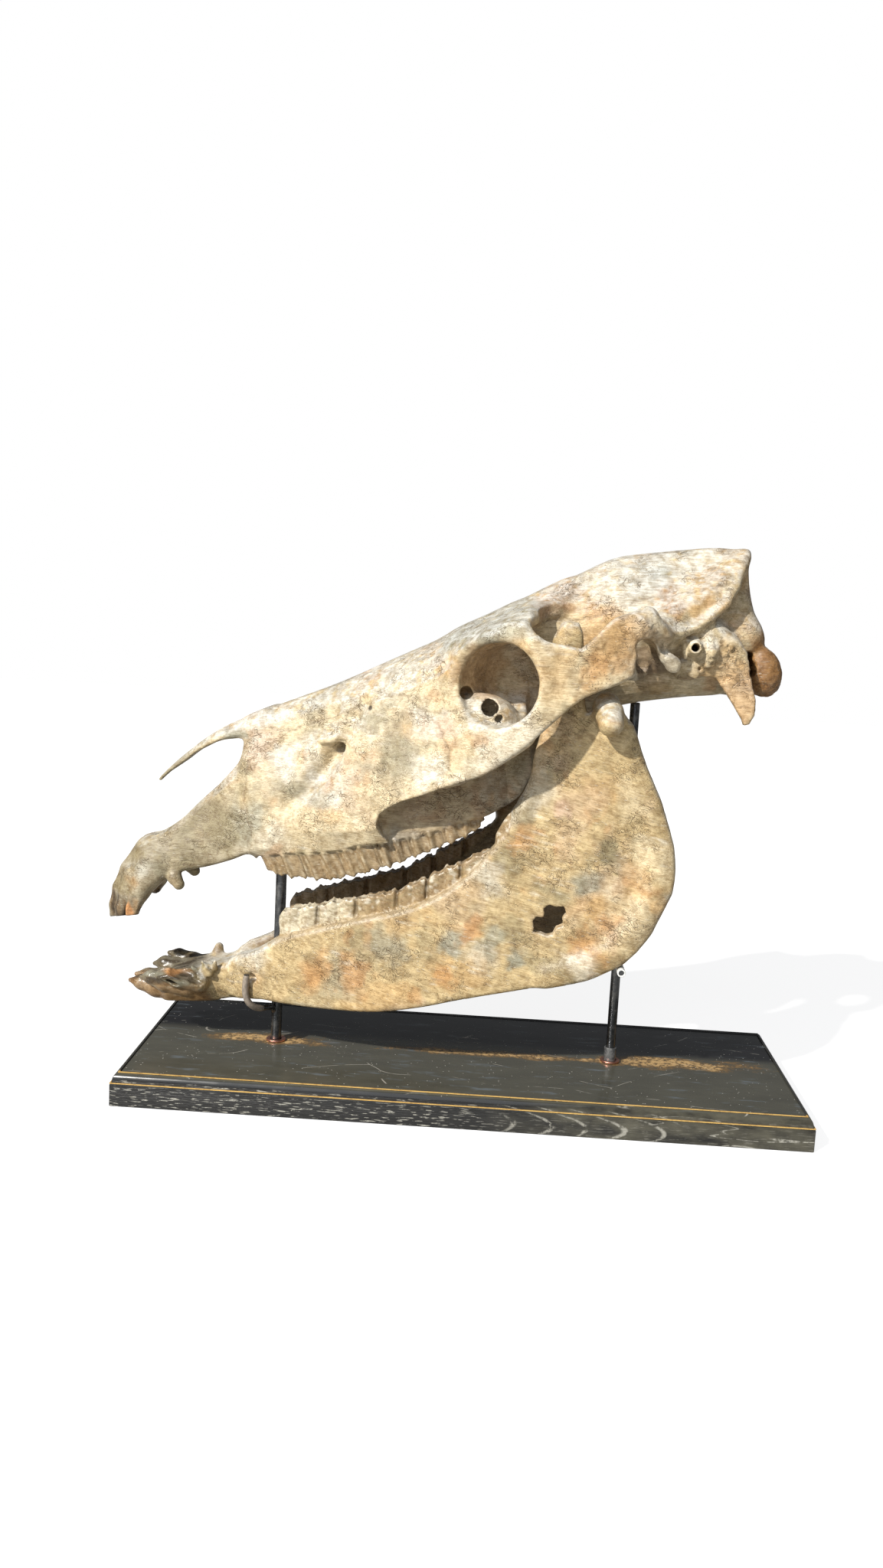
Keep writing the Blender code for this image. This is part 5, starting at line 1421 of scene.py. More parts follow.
def bone_marks(made, turn, wander):
    """Masks of the bone's flakes, cracks and pores."""
    flake = made.ramp(made.noise(made.scaled((5.0, 0.9, 0.9), turn), 2.0), 0.62, 0.72)
    flake = made.times(flake, made.ramp(wander, 0.42, 0.6))
    bend = made.mix(0.05, made.place, wander, "ADD")
    crack = made.cells(made.scaled((13.0, 3.6, 3.6), turn, bend), "DISTANCE_TO_EDGE")
    cracked = made.ramp(made.noise(made.scaled(21.0), 3.0), 0.5, 0.64)
    crack = made.times(made.ramp(crack, 0.05, 0.0), cracked)
    pore = made.ramp(made.cells(made.scaled((2.2, 1.4, 1.4), turn)), 0.26, 0.1)
    pore = made.times(pore, made.ramp(made.noise(made.scaled(27.0), 3.0), 0.52, 0.66))
    return flake, crack, pore


def bone_finish(name, turn):
    """Dry bone with a fibrous grain turned about Y, flakes, cracks, pores, dirt and painted shade in its
    crevices, and glossier enamel.
    """
    made = Finish(name)
    enamel = made.attribute("enamel")
    grain = made.noise(made.scaled((12.0, 1.3, 1.3), turn), 4.0, 0.6)
    fibre = made.noise(made.scaled((4.2, 0.45, 0.45), turn), 3.0, 0.6)
    mottle = made.noise(made.scaled(6.5), 5.0, 0.7, 0.4)
    flake, crack, pore = bone_marks(made, turn, made.noise(made.scaled(14.0), 2.0))
    # painted shade in the crevices, from the crevice attribute, with dirt from the mottle
    dirt_and_shade = made.plus(made.attribute("crevice"), made.times(made.minus(mottle, 0.5), 0.6))
    dirt_and_shade = made.ramp(dirt_and_shade, 0.3, 0.9)

    light = made.weighted((mottle, 0.45), (grain, 0.3), (fibre, 0.25))
    shade = made.mix(made.ramp(light, 0.37, 0.63), (0.6, 0.52, 0.42), (1.26, 1.26, 1.25))
    colour = made.mix(1.0, made.attribute("tint", "Color"), shade, "MULTIPLY")
    colour = made.coated(
        colour, (flake, 0.45, FLAKE), (crack, 0.6, CRACK), (pore, 0.5, PORE), (dirt_and_shade, 0.8, DIRT_AND_SHADE)
    )
    height = made.weighted((grain, 0.6), (fibre, 0.5), (flake, 0.35))
    height = made.minus(made.minus(height, made.times(crack, 0.9)), made.times(pore, 0.8))
    normal = made.bump(height, 0.5, made.ramp(enamel, 0.0, 1.0, 1.0, 0.3))
    rough = made.minus(made.ramp(mottle, 0.3, 0.7, 0.36, 0.54), made.times(enamel, 0.16))
    rough = made.plus(rough, made.times(dirt_and_shade, 0.25))
    return made.surface(Base_Color=colour, Roughness=rough, Normal=normal)


BOARD_STAINS = (((-152, 3), (56, 13)), ((28, 0), (104, 9)), ((166, 3), (80, 15)))  # middle, reach


def board_stains(made, x, y, cloud, dust):
    """How thick the golden and brown dust lies: an oval round each rod, and a band between them."""
    stain = None
    for middle, reach in BOARD_STAINS:
        across = made.math("DIVIDE", made.minus(x, middle[0] * MM), reach[0] * MM)
        along = made.math("DIVIDE", made.minus(y, middle[1] * MM), reach[1] * MM)
        squares = made.plus(made.math("POWER", across, 2.0), made.math("POWER", along, 2.0))
        away = made.plus(made.math("SQRT", squares), made.ramp(cloud, 0.3, 0.7, 0.35, -0.35))
        spot = made.ramp(away, 1.25, 0.15)
        stain = spot if stain is None else made.math("MAXIMUM", stain, spot)
    return made.times(stain, made.ramp(dust, 0.36, 0.6, 0.3, 1.0))


ARCH_SPACING = 27  # from one arch of the grain to the next
ARCH_SWAY = 22  # how much the arches wander
ARCH_HEIGHT = 7  # where their lines run upright
ARCH_RISE = 8  # above and below there they lean over by ARCH_BOW
ARCH_BOW = 13


def board_liming(made, x, z, dust):
    """Pale filler in the grain of the upright faces: short dashes to the left, arches and long
    curves to the right."""
    rows = made.noise(made.scaled((9.0, 9.0, 1.0)), 1.0, 0.5)
    dash = made.times(made.ramp(rows, 0.585, 0.64), made.ramp(x, 0.045, -0.02, 0.2, 1.0))
    sway = made.minus(made.noise(made.scaled(30.0), 2.0), 0.5)
    rise = made.math("DIVIDE", made.minus(z, ARCH_HEIGHT * MM), ARCH_RISE * MM)
    bow = made.math("POWER", made.math("ABSOLUTE", rise), 2.0)
    bent = made.plus(made.plus(x, made.times(sway, ARCH_SWAY * MM)), made.times(bow, ARCH_BOW * MM))
    phase = made.math("FRACT", made.math("DIVIDE", bent, ARCH_SPACING * MM))
    arch = made.ramp(made.math("ABSOLUTE", made.minus(phase, 0.5)), 0.12, 0.03)
    arch = made.times(made.times(arch, made.ramp(x, 0.02, 0.05)), made.ramp(x, 0.17, 0.15))
    level = made.minus(made.noise(made.scaled((95.0, 95.0, 9.0)), 1.0), 0.5)
    bow_line = made.ramp(made.math("ABSOLUTE", level), 0.016, 0.006)
    bow_line = made.times(bow_line, made.ramp(x, 0.12, 0.15))
    lines = made.math("MAXIMUM", dash, made.math("MAXIMUM", arch, bow_line))
    return made.times(lines, made.ramp(dust, 0.36, 0.56))


BLACK_POLISH = (0.011, 0.011, 0.0112)
WORN_POLISH_AND_SHEEN = (0.085, 0.08, 0.06)
THIN_HAZE = (0.045, 0.044, 0.036)
THICK_HAZE = (0.09, 0.088, 0.07)
SHADOW_BLACK = (0.006, 0.006, 0.007)
BLUISH_SMUDGE = (0.13, 0.155, 0.18)
BROWN_DUST = (0.15, 0.09, 0.035)
GOLDEN_DUST = (0.5, 0.33, 0.15)
LIMING = (0.34, 0.33, 0.29)
SCRATCH = (0.42, 0.4, 0.36)
SPECK = (0.6, 0.58, 0.54)


def board_marks(made, top):
    """Masks of the pale specks on the board, and of the scratches and smudges on its top."""
    speck = made.ramp(made.cells(made.scaled(4.0)), 0.13, 0.07)
    speck = made.times(speck, made.ramp(made.noise(made.scaled(9.0), 2.0), 0.46, 0.52))
    bend = made.mix(0.04, made.place, made.noise(made.scaled(80.0), 1.0), "ADD")
    scratch = made.cells(made.scaled((190.0, 60.0, 60.0), 0.0, bend), "DISTANCE_TO_EDGE")
    scratch = made.ramp(scratch, 0.005, 0.0015)
    scratch = made.times(scratch, made.ramp(made.noise(made.scaled(16.0), 3.0), 0.5, 0.6))
    smudge = made.noise(made.scaled((30.0, 8.0, 8.0)), 4.0, 0.6)
    return speck, made.times(scratch, top), made.times(made.ramp(smudge, 0.56, 0.72), top)


def board_polish(made, x, y, top, cloud):
    """Black polish: paler to the right, partly worn and dusty and partly a painted reflection, and hazy on
    the front half of the top, with a painted shadow over the back of the top.
    """
    # paler to the right: partly worn, dusty polish and partly a painted reflection
    worn_and_sheen = made.times(made.ramp(x, 0.0, 0.12), made.ramp(cloud, 0.25, 0.7))
    upright = made.mix(worn_and_sheen, BLACK_POLISH, WORN_POLISH_AND_SHEEN)
    haze_and_shadow = made.mix(cloud, THIN_HAZE, THICK_HAZE)
    # painted shadow: the back of the top is near black
    haze_and_shadow = made.mix(made.ramp(y, 0.01, 0.03), haze_and_shadow, SHADOW_BLACK)
    return made.mix(top, upright, haze_and_shadow)


def wood_finish():
    """Black polish on oak: a glossy top with haze, dust, scratches, stains and a painted shadow over its
    back, and limed grain on the upright faces."""
    made = Finish("ebonised_wood")
    facing = made.put("SeparateXYZ", {"Vector": made.put("NewGeometry", output="Normal")}, 2)
    top = made.ramp(facing, 0.55, 0.9)
    side = made.ramp(made.math("ABSOLUTE", facing), 0.35, 0.1)
    x, y, z = (made.put("SeparateXYZ", {"Vector": made.place}, axis) for axis in range(3))
    cloud = made.noise(made.scaled((34.0, 14.0, 14.0)), 5.0, 0.6)
    dust = made.noise(made.scaled(4.0), 5.0, 0.7)
    stain = made.times(board_stains(made, x, y, cloud, dust), top)
    liming = made.times(board_liming(made, x, z, dust), side)
    speck, scratch, smudge = board_marks(made, top)

    colour = made.coated(board_polish(made, x, y, top, cloud), (smudge, 0.6, BLUISH_SMUDGE))
    colour = made.mix(made.ramp(stain, 0.05, 0.4, 0.0, 0.8), colour, BROWN_DUST)
    colour = made.mix(made.ramp(stain, 0.35, 0.85, 0.0, 0.9), colour, GOLDEN_DUST)
    colour = made.coated(
        colour, (liming, 0.85, LIMING), (scratch, 0.65, SCRATCH), (speck, made.times(top, 0.8), SPECK)
    )
    rough = made.ramp(cloud, 0.3, 0.75, 0.13, 0.26)
    rough = made.plus(rough, made.times(made.plus(stain, side), 0.28))
    grain = made.noise(made.scaled((14.0, 14.0, 0.9)), 3.0)
    relief = made.times(made.minus(made.ramp(grain, 0.3, 0.7), liming), side)
    relief = made.minus(relief, made.times(scratch, 0.3))
    return made.surface(Base_Color=colour, Roughness=rough, Normal=made.bump(relief, 0.12))


GOLD, DULL_GOLD = (0.8, 0.52, 0.17), (0.5, 0.3, 0.1)
STEEL, WORN_STEEL = (0.1, 0.105, 0.115), (0.2, 0.2, 0.2)
COPPER, DULL_COPPER = (0.72, 0.36, 0.27), (0.5, 0.27, 0.2)
CLEAR_TUBE, CLOUDED_TUBE = (0.6, 0.61, 0.6), (0.8, 0.8, 0.78)
BLACK_TUBE, GREYED_TUBE = (0.05, 0.052, 0.055), (0.12, 0.12, 0.12)
BROWN_RUBBER, DUSTY_RUBBER = (0.2, 0.17, 0.14), (0.3, 0.25, 0.2)
POLISH_OVER_GOLD = (0.03, 0.03, 0.028)
GOLD_FRONT = -89.5  # in front of this y the upper line's gold shows


def tarnish(made, colour, worn, roughness):
    """Patches of tarnish on metal: their noise, and the colour and the roughness with them."""
    patch = made.noise(made.scaled(5.0), 5.0, 0.65)
    tint = made.mix(made.ramp(patch, 0.42, 0.68), colour, worn)
    return patch, tint, made.ramp(patch, 0.35, 0.7, roughness, roughness + 0.2)


def metal_finish(name, colour, worn, roughness, metallic=1.0):
    """Metal with drawn streaks along its length and patches of tarnish."""
    made = Finish(name)
    streak = made.noise(made.scaled((0.5, 0.5, 9.0)), 3.0)
    patch, tint, rough = tarnish(made, colour, worn, roughness)
    tint = made.mix(made.ramp(streak, 0.5, 0.8, 0.0, 0.3), tint, worn)
    normal = made.bump(made.plus(streak, patch), 0.05)
    return made.surface(Base_Color=tint, Roughness=rough, Metallic=metallic, Normal=normal)


def front_gold_finish():
    """The upper line: gold along the front, and covered by the black polish along the other sides."""
    made = Finish("gold_line_front")
    y = made.put("SeparateXYZ", {"Vector": made.place}, 1)
    front = made.ramp(y, (GOLD_FRONT + 1) * MM, GOLD_FRONT * MM)
    patch, tint, rough = tarnish(made, GOLD, DULL_GOLD, 0.3)
    colour = made.mix(front, POLISH_OVER_GOLD, tint)
    shine = made.times(front, 0.35)
    normal = made.bump(patch, 0.05)
    return made.surface(Base_Color=colour, Roughness=rough, Metallic=shine, Normal=normal)


def tube_finish(name, colour, clouded, roughness):
    """Rubber or plastic tube, clouded in patches."""
    made = Finish(name)
    patch = made.noise(made.scaled(2.6), 4.0, 0.6)
    tint = made.mix(made.ramp(patch, 0.38, 0.66), colour, clouded)
    rough = made.ramp(patch, 0.35, 0.7, roughness, roughness + 0.25)
    normal = made.bump(made.noise(made.scaled(0.9), 3.0), 0.04)
    return made.surface(Base_Color=tint, Roughness=rough, Normal=normal, Coat_Weight=0.3)


FLOOR = (0.42, 0.42, 0.41)
SEEN_FLOOR = ((0.3, 0.3, 0.31), (0.34, 0.34, 0.35))  # from one cloud of it to the next
FLOOR_GLOW = 0.86


def floor_finish():
    """A pale floor. What the camera sees of it is mostly its own glow, so that shadows on it stay
    faint, and what falls on the skull from it has no glow."""
    made = Finish("pale_floor")
    cloud = made.noise(made.scaled(400.0), 4.0)
    seen = made.put("LightPath", output="Is Camera Ray")
    colour = made.mix(seen, FLOOR, made.mix(cloud, *SEEN_FLOOR))
    glow = made.times(seen, FLOOR_GLOW)
    return made.surface(
        Base_Color=colour, Roughness=0.8, Emission_Color=(1.0, 1.0, 1.0, 1.0), Emission_Strength=glow
    )


# ------------------------------------------------------------------ the bones


def to_ground(points):
    """Cranial frame to ground frame."""
    c, s = np.cos(np.radians(SKULL_TILT)), np.sin(np.radians(SKULL_TILT))
    x, y, z = points.T
    return np.stack([SKULL_ORIGIN[0] + c * x - s * z, y, SKULL_ORIGIN[1] + s * x + c * z], 1)


def turned_to_ground(directions):
    return to_ground(directions) - to_ground(np.zeros((1, 3)))


def as_it_is(points):
    """The mandible's frame is the ground frame already."""
    return points


def shown(name, mesh, finish, slot, *nodes):
    """A piece that rides with the stand and stands for the given solids."""
    piece = bpy.data.objects.new(name, mesh)
    bpy.context.scene.collection.objects.link(piece)
    mesh.materials.clear()
    mesh.materials.append(finish)
    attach(piece, "root")
    if nodes:
        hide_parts(*nodes)


def bone_mesh(name, points, faces, values, colours):
    mesh = bpy.data.meshes.new(name)
    mesh.from_pydata((points * MM).tolist(), [], faces.tolist())
    mesh.shade_smooth()
    for key, value in values.items():
        layer = mesh.attributes.new(key, "FLOAT", "POINT")
        layer.data.foreach_set("value", value.astype(np.float32))
    layer = mesh.attributes.new("tint", "FLOAT_COLOR", "POINT")
    rgba = np.concatenate([colours, np.ones((len(colours), 1))], 1)
    layer.data.foreach_set("color", rgba.astype(np.float32).ravel())
    return mesh


# the size of the cells, and the rounds of blur, that find crevices, hollows and caves, where shade is
# painted
HOLLOWS = ((2.2, 2), (6.6, 3), (13.2, 3))


def bone(name, sculpture, box, to_world, turn, relief, enamel_of, paint, ground, slant, patches):
    """A bone's mesh: its surface evened out and roughened, with its colours. to_world brings its
    points to the ground frame and turn its directions, and the rest says what it looks like."""
    voxel = VOXEL
    grid, start = field_grid(sculpture, *box, voxel)
    fill_touching_corners(grid)
    points, faces = surface(grid, start, voxel)
    enamel = enamel_of(points)
    points = smoothed(points, faces, 0.7 * (1 - 0.7 * enamel), 2)
    normals = point_normals(points, faces)
    crevice, hollow, cave = (
        crowding(grid, start, voxel, points, normals, size, blur) for size, blur in HOLLOWS
    )
    # dark: how much painted shade the crevices and hollows get
    dark = smoothstep(0.3, 0.8, crevice) + 0.8 * smoothstep(0.35, 0.85, hollow)
    colours = painted(
        weathering(to_world(points), turn(normals), ground, slant, patches),
        # painted shade in the deepest hollows
        (UMBER, 0.35 * smoothstep(0.4, 0.85, cave)),
        # painted shade on what faces the middle of the skull
        (UMBER, 0.6 * inward_shade(points, normals)),
    )
    colours = paint(points, normals, colours, enamel)
    # painted shade, near black in crevices and hollows; it also goes to the material as crevice
    colours = blended(colours, SOOT, (0.45 + 0.3 * enamel) * smoothstep(0.55, 1.5, dark))
    points = points + normals * relief(points, normals, enamel)[:, None]
    values = {"crevice": np.clip(0.6 * dark, 0, 1), "enamel": enamel}
    return bone_mesh(name, to_world(points), faces, values, colours)


# ------------------------------------------------------------------ the cranium's relief and paint

CRANIUM_PATCHES = (  # x, z, size, tint and share: the nose, then the cheek, the brow and the rear
    (-163, 270, 15, PINK, 0.68),
    (-187, 274, 12, SLATE, 0.81),
    # the ivory patches on the nose are partly painted highlights
    (-148, 255, 14, IVORY, 0.94),
    (-145, 237, 15, OLIVE, 0.61),
    (-176, 209, 20, SLATE, 0.68),
    (-199, 205, 24, OLIVE, 0.9),
    (-212, 196, 9, OCHRE, 0.6),
    (-222, 186, 16, SLATE, 0.54),
    (-251, 172, 14, SLATE, 0.6),
    (-262, 178, 9, OLIVE, 0.7),
    (-228, 196, 14, OLIVE, 0.8),
    (-246, 165, 12, SLATE, 0.54),
    (-268, 156, 9, RUST, 0.95),
    (-118, 230, 11, SLATE, 0.54),
    (-125, 251, 9, IVORY, 0.94),
    (-108, 234, 10, IVORY, 0.81),
    (-132, 203, 20, CREAM, 0.68),
    (-78, 295, 15, OLIVE, 0.81),
    (-58, 273, 22, OLIVE, 0.81),
    (-68, 238, 20, CREAM, 0.81),
    (-35, 297, 16, IVORY, 0.81),
    (-21, 279, 10, RUST, 0.41),
    (-33, 262, 16, IVORY, 0.81),
    (-36, 338, 14, OCHRE, 0.74),
    (-28, 294, 12, PINK, 0.68),
    (-12, 362, 26, SLATE, 0.74),
    (16, 376, 24, SLATE, 0.61),
    (62, 397, 16, RUST, 0.54),
    (48, 389, 16, PINK, 0.68),
    (101, 389, 13, IVORY, 0.7),
    (118, 409, 24, SLATE, 0.81),
    (133, 393, 14, RUST, 0.68),
    (153, 387, 14, OCHRE, 0.68),
    (112, 402, 20, TAN, 0.55),
    (158, 403, 16, OCHRE, 0.68),
    (171, 412, 12, RUST, 0.41),
    (94, 365, 22, OCHRE, 0.68),
    (46, 340, 24, OCHRE, 0.5),
    (80, 348, 12, RUST, 0.5),
    (10, 330, 20, CREAM, 0.7),
)
CREST = curve((80, 15), (95, 19), (111, 30), (147, 40), (184, 53))  # the cheek's crest, as (x, z)


def cranium_enamel(points):
    x, side, z = points[:, 0], np.abs(points[:, 1]), points[:, 2]
    cheek = smoothstep(0.5, -1.5, z - GUM(x) + 1) * ((x > -8) & (x < 173)) * (side > 12)
    front = smoothstep(-24, -29, z + 0.25 * (x + 118)) * (x < -98)
    return np.maximum(cheek, front)


CRANIUM_ROUGHNESS = (  # an ellipsoid's centre and reach, how deep it is roughened, and a seed
    ((352, 48, 108), (20, 18, 22), 1.5, 81),  # ear
    ((389, 26, 95), (20, 18, 22), 0.6, 83),  # condyle
    ((366, 49, 78), (18, 14, 30), 0.35, 85),  # jugular process
    ((276, 92, 128), (40, 16, 24), 0.6, 87),  # knob of the cheek arch
)


def cranium_relief(points, normals, enamel):
    height = relief_of_bone(points) - 0.45 * sutures(points, normals)
    for centre, reach, depth, seed in CRANIUM_ROUGHNESS:
        height += roughened(points, centre, reach, depth, seed)
    height += furrows(points, normals, FACE_FOLDS)
    lean = points[:, 0] + 0.25 * points[:, 2]
    rows = enamel * (points[:, 0] > -20)
    ribs = np.sin(2 * np.pi * lean / 6.1 + 2.5 * noise(points, 11.0, 99))
    ribs = ribs * (0.4 + 0.3 * noise(points, 8.0, 100)) - 1.1 * tooth_borders(lean + 4, UPPER_TEETH)
    return height * (1 - 0.7 * enamel) + rows * ribs


def near_ellipsoid(points, centre, reach):
    """1 well inside the ellipsoids of this reach round centre and its mirror place, 0 outside."""
    away = shares_away(points, centre, reach)
    return 1 - smoothstep(0.6, 1.1, away + 0.2 * noise(points, 6.0, 91))


CRANIUM_SPOTS = (  # an ellipsoid's centre and reach, tint and share
    ((389, 26, 95), (26, 24, 30), RUSSET, 0.92),  # condyle
    ((366, 50, 84), (20, 16, 26), RUST, 0.45),  # jugular process
    ((355, 48, 106), (22, 16, 22), OCHRE, 0.6),  # rough bone round the ear
    ((282, 94, 130), (36, 22, 24), CARAMEL, 0.5),  # knob of the cheek arch
    ((188, 66, 120), (32, 40, 27), LEATHER, 0.75),  # the orbit's inside
    ((302, 44, 113), (34, 20, 13), PEAT, 0.75),  # painted shade in the hollow under the arch's root
    ((95, 48, 100), (2.6, 4, 2.6), SOOT, 0.9),  # painted shade in a small opening in front of the orbit
    ((72, 38, 71), (8, 8, 4), UMBER, 0.6),  # painted shade in the infraorbital opening
    ((176, 60, 92), (26, 26, 10), IVORY, 0.6),  # painted light on the orbit's floor
)
FRONT_TOOTH_GAPS = (13.6, 24.4)  # how far to the side one upper front tooth meets the next


def cranium_paint(points, normals, colours, enamel):
    x, side, z = points[:, 0], np.abs(points[:, 1]), points[:, 2]
    speckle = noise(points, 2.6, 92)
    for centre, reach, tint, share in CRANIUM_SPOTS:
        colours = blended(colours, tint, share * near_ellipsoid(points, centre, reach))
    below = smoothstep(4, -6, z - CREST(x)) * smoothstep(90, 104, x) * (side > 30) * (x < 190)
    rib = 0.5 + 0.5 * np.sin(2 * np.pi * (x + 0.5 * z) / 5.3 + 2 * noise(points, 9.0, 93))
    cheek = enamel * (x > -20)
    muzzle = smoothstep(2, -34, x + 0.3 * z) * (1 - enamel)
    # less drab where the muzzle faces up, so the painted sky sheen stays there
    muzzle *= 0.8 + 0.4 * noise(points, 14.0, 98) - 0.5 * smoothstep(0.4, 0.95, normals[:, 2])
    front = enamel * (x < -80)
    streak = noise(points, np.array((3.0, 3.0, 14.0)), 94)
    between = sum(np.exp(-(((side - gap) / 1.1) ** 2)) for gap in FRONT_TOOTH_GAPS)
    broken = near_ellipsoid(points, (-115, 33, -41), (7, 5, 12)) * (points[:, 1] < 0)
    return painted(
        colours,
        (UMBER, 0.5 * sutures(points, normals)),
        (UMBER, 0.45 * below * (z > GUM(x) - 2)),  # painted shade under the cheek's crest
        (TEETH, 0.85 * cheek),  # brown cheek teeth with paler ribs, and painted shade between them and where they meet the gum
        (CHALK, 0.3 * cheek * rib * smoothstep(-0.4, 0.4, speckle)),
        (SOOT, 0.5 * cheek * tooth_borders(x + 0.25 * z + 4, UPPER_TEETH)),
        (SOOT, 0.45 * cheek * smoothstep(-4, -1, z - GUM(x))),
        (DRAB, muzzle),  # browner and greyer over the front teeth
        (WALNUT, 0.9 * front),  # front teeth, streaked, with painted shade black between them
        (SLATE, 0.45 * front * smoothstep(0.1, 0.6, streak)),
        (SOOT, 0.8 * front * smoothstep(0.05, 0.5, -streak)),
        (SOOT, 0.85 * front * between),
        (ORANGE, 0.85 * broken),  # the side where the corner tooth is broken
    )


# ------------------------------------------------------------------ the mandible's relief and paint

LOWER_GUM = curve(
    (-150, 119), (-144, 121), (-114, 132), (-84, 142), (-54, 151), (-30, 162.5), (-10, 177),
    (4, 191.5), (14, 205), (26, 214),
)
MANDIBLE_PATCHES = (  # x, z, size, tint and share: the body from the front, then the ramus
    (-176, 104, 22, IVORY, 0.8),
    (-168, 86, 12, OCHRE, 0.5),
    (-205, 92, 16, OLIVE, 0.6),
    (-118, 97, 18, RUST, 0.68),
    (-83, 104, 20, RUST, 0.61),
    (-140, 86, 16, TAN, 0.68),
    (-60, 128, 18, SLATE, 0.54),
    (-30, 130, 16, OLIVE, 0.47),
    (-13, 137, 14, SLATE, 0.81),
    (16, 137, 13, SLATE, 0.68),
    (39, 123, 12, SLATE, 0.81),
    (-2, 146, 11, RUST, 0.68),
    (-17, 108, 13, RUST, 0.61),
    (8, 112, 16, OCHRE, 0.54),
    (86, 133, 16, RUST, 0.61),
    (95, 164, 15, OCHRE, 0.81),
    (120, 156, 24, CREAM, 0.8),
    (104, 150, 9, RUST, 0.5),
    (28, 194, 18, OLIVE, 0.61),
    (11, 182, 20, IVORY, 0.68),
    (59, 238, 12, PINK, 0.81),
    (34, 215, 13, RUST, 0.61),
    (95, 208, 16, OLIVE, 0.88),
    (80, 185, 15, SLATE, 0.68),
    (62, 168, 14, OLIVE, 0.47),
    (133, 206, 20, CREAM, 0.81),
    (112, 245, 20, CREAM, 0.68),
    (79, 120, 14, IVORY, 0.54),
    (136, 170, 14, OCHRE, 0.68),
)


def mandible_enamel(points):
    x, z = points[:, 0], points[:, 2]
    cheek = smoothstep(-0.5, 1.5, z - LOWER_GUM(x) - 1) * ((x > -150) & (x < 26))
    front = smoothstep(-210, -222, x + 0.4 * (z - 95))
    return np.maximum(cheek, front)


def mandible_relief(points, _normals, enamel):
    rows = enamel * (points[:, 0] > -160)
    folds = 0.4 * np.sin(points[:, 0] / 2.9 + 0.25 * points[:, 2] + 2 * noise(points, 12.0, 101))
    folds -= 1.1 * tooth_borders(points[:, 0], LOWER_TEETH)
    return relief_of_bone(points) * (1 - 0.7 * enamel) + rows * folds


def mandible_paint(points, normals, colours, enamel):
    x, z = points[:, 0], points[:, 2]
    speckle = noise(points, 2.6, 95)
    margin = np.exp(-(((z - LOWER_GUM(x)) / 3.5) ** 2)) * ((x > -155) & (x < 30))
    cheek = enamel * (x > -160)
    gloss = smoothstep(0.2, 0.6, noise(points, np.array((3.4, 3.4, 2.4)), 97))
    wave = LOWER_TIPS(x) - 6.4 + 1.3 * np.sin(x / 4.1)
    line = np.exp(-(((z - wave) / 0.8) ** 2)) + 0.8 * np.exp(-(((z - wave + 4.2) / 0.6) ** 2))
    inside = smoothstep(0.0, 0.5, -normals[:, 1] * np.sign(points[:, 1]))
    hole = near_ellipsoid(points, (58, 65, 154), (17, 9, 15)) * (points[:, 1] < 0)
    front = enamel * (x < -160)
    streak = noise(points, np.array((22.0, 5.0, 3.4)), 96)
    broken = near_ellipsoid(points, (-228, 26, 84), (13, 9, 3.6)) * (points[:, 1] < 0)
    return painted(
        colours,
        (SAND, 0.75 * margin * (1 - enamel)),  # the gum's margin
        (CHALK, 0.85 * cheek * smoothstep(-70, -108, x)),  # cheek teeth, paler to the front
        (TEETH, 0.85 * cheek * smoothstep(-108, -70, x)),
        # painted sheen: pale spots on the teeth
        (IVORY, 0.7 * cheek * gloss),
        (OLIVE, 0.6 * cheek * line),  # two wavy lines under the tips
        # painted shade between the teeth
        (SOOT, 0.5 * cheek * tooth_borders(x, LOWER_TEETH)),
        (TEETH, 0.5 * cheek * smoothstep(0.1, 0.6, speckle)),
        (TOFFEE, 0.7 * cheek * inside),  # on their inner sides
        (BISCUIT, 0.8 * hole * (np.abs(normals[:, 1]) < 0.6)),  # the broken edge round the hole
        (HORN, 0.85 * front),  # front teeth: dark blades with blue-grey and black streaks
        (SLATE, 0.5 * front * smoothstep(0.1, 0.6, streak)),
        (SOOT, 0.8 * front * smoothstep(0.05, 0.5, -streak)),
        (CHESTNUT, 0.6 * front * smoothstep(77, 70, z + 3 * speckle)),  # on their lower edges
        (BRICK, 0.75 * broken),  # the rough bone under the broken corner tooth
        (SOOT, 0.8 * smoothstep(-276, -290, x)),
    )


# ------------------------------------------------------------------ the stand


def new_mesh(shape, name, sharp=0.6):
    """The finished mesh, smooth but for edges sharper than the angle sharp, in radians."""
    bmesh.ops.recalc_face_normals(shape, faces=shape.faces)
    mesh = bpy.data.meshes.new(name)
    shape.to_mesh(mesh)
    shape.free()
    mesh.shade_smooth()
    mesh.set_sharp_from_angle(angle=sharp)
    return mesh


def ring_of(shape, centre, across, up, radius, count):
    """A circle of points round centre, in the plane of the vectors across and up."""
    turn = 2 * np.pi * np.arange(count) / count
    return [
        shape.verts.new((centre + radius * (np.cos(a) * across + np.sin(a) * up)) * MM) for a in turn
    ]


def bridge(shape, rings, closed=False):
    following = rings[1:] + rings[:1] if closed else rings[1:]
    for one, other in zip(rings, following):
        for i in range(len(one)):
            j = (i + 1) % len(one)
            shape.faces.new((one[i], one[j], other[j], other[i]))


def bar(name, path, radii, segments):
    """A round bar along path with a radius at each point, capped at both ends."""
    shape = bmesh.new()
    path = np.asarray(path, float)
    tangents = np.gradient(path, axis=0)
    side = np.array([0.0, 1.0, 0.0])
    if abs(tangents[0][1]) > 0.9 * np.linalg.norm(tangents[0]):
        side = np.array([1.0, 0.0, 0.0])
    rings = []
    for centre, along, radius in zip(path, tangents, radii):
        along = along / np.linalg.norm(along)
        across = side - (side @ along) * along
        across /= np.linalg.norm(across)
        side = across
        rings.append(ring_of(shape, centre, across, np.cross(along, across), radius, segments))
    bridge(shape, rings)
    shape.faces.new(rings[0])
    shape.faces.new(rings[-1])
    return new_mesh(shape, name)


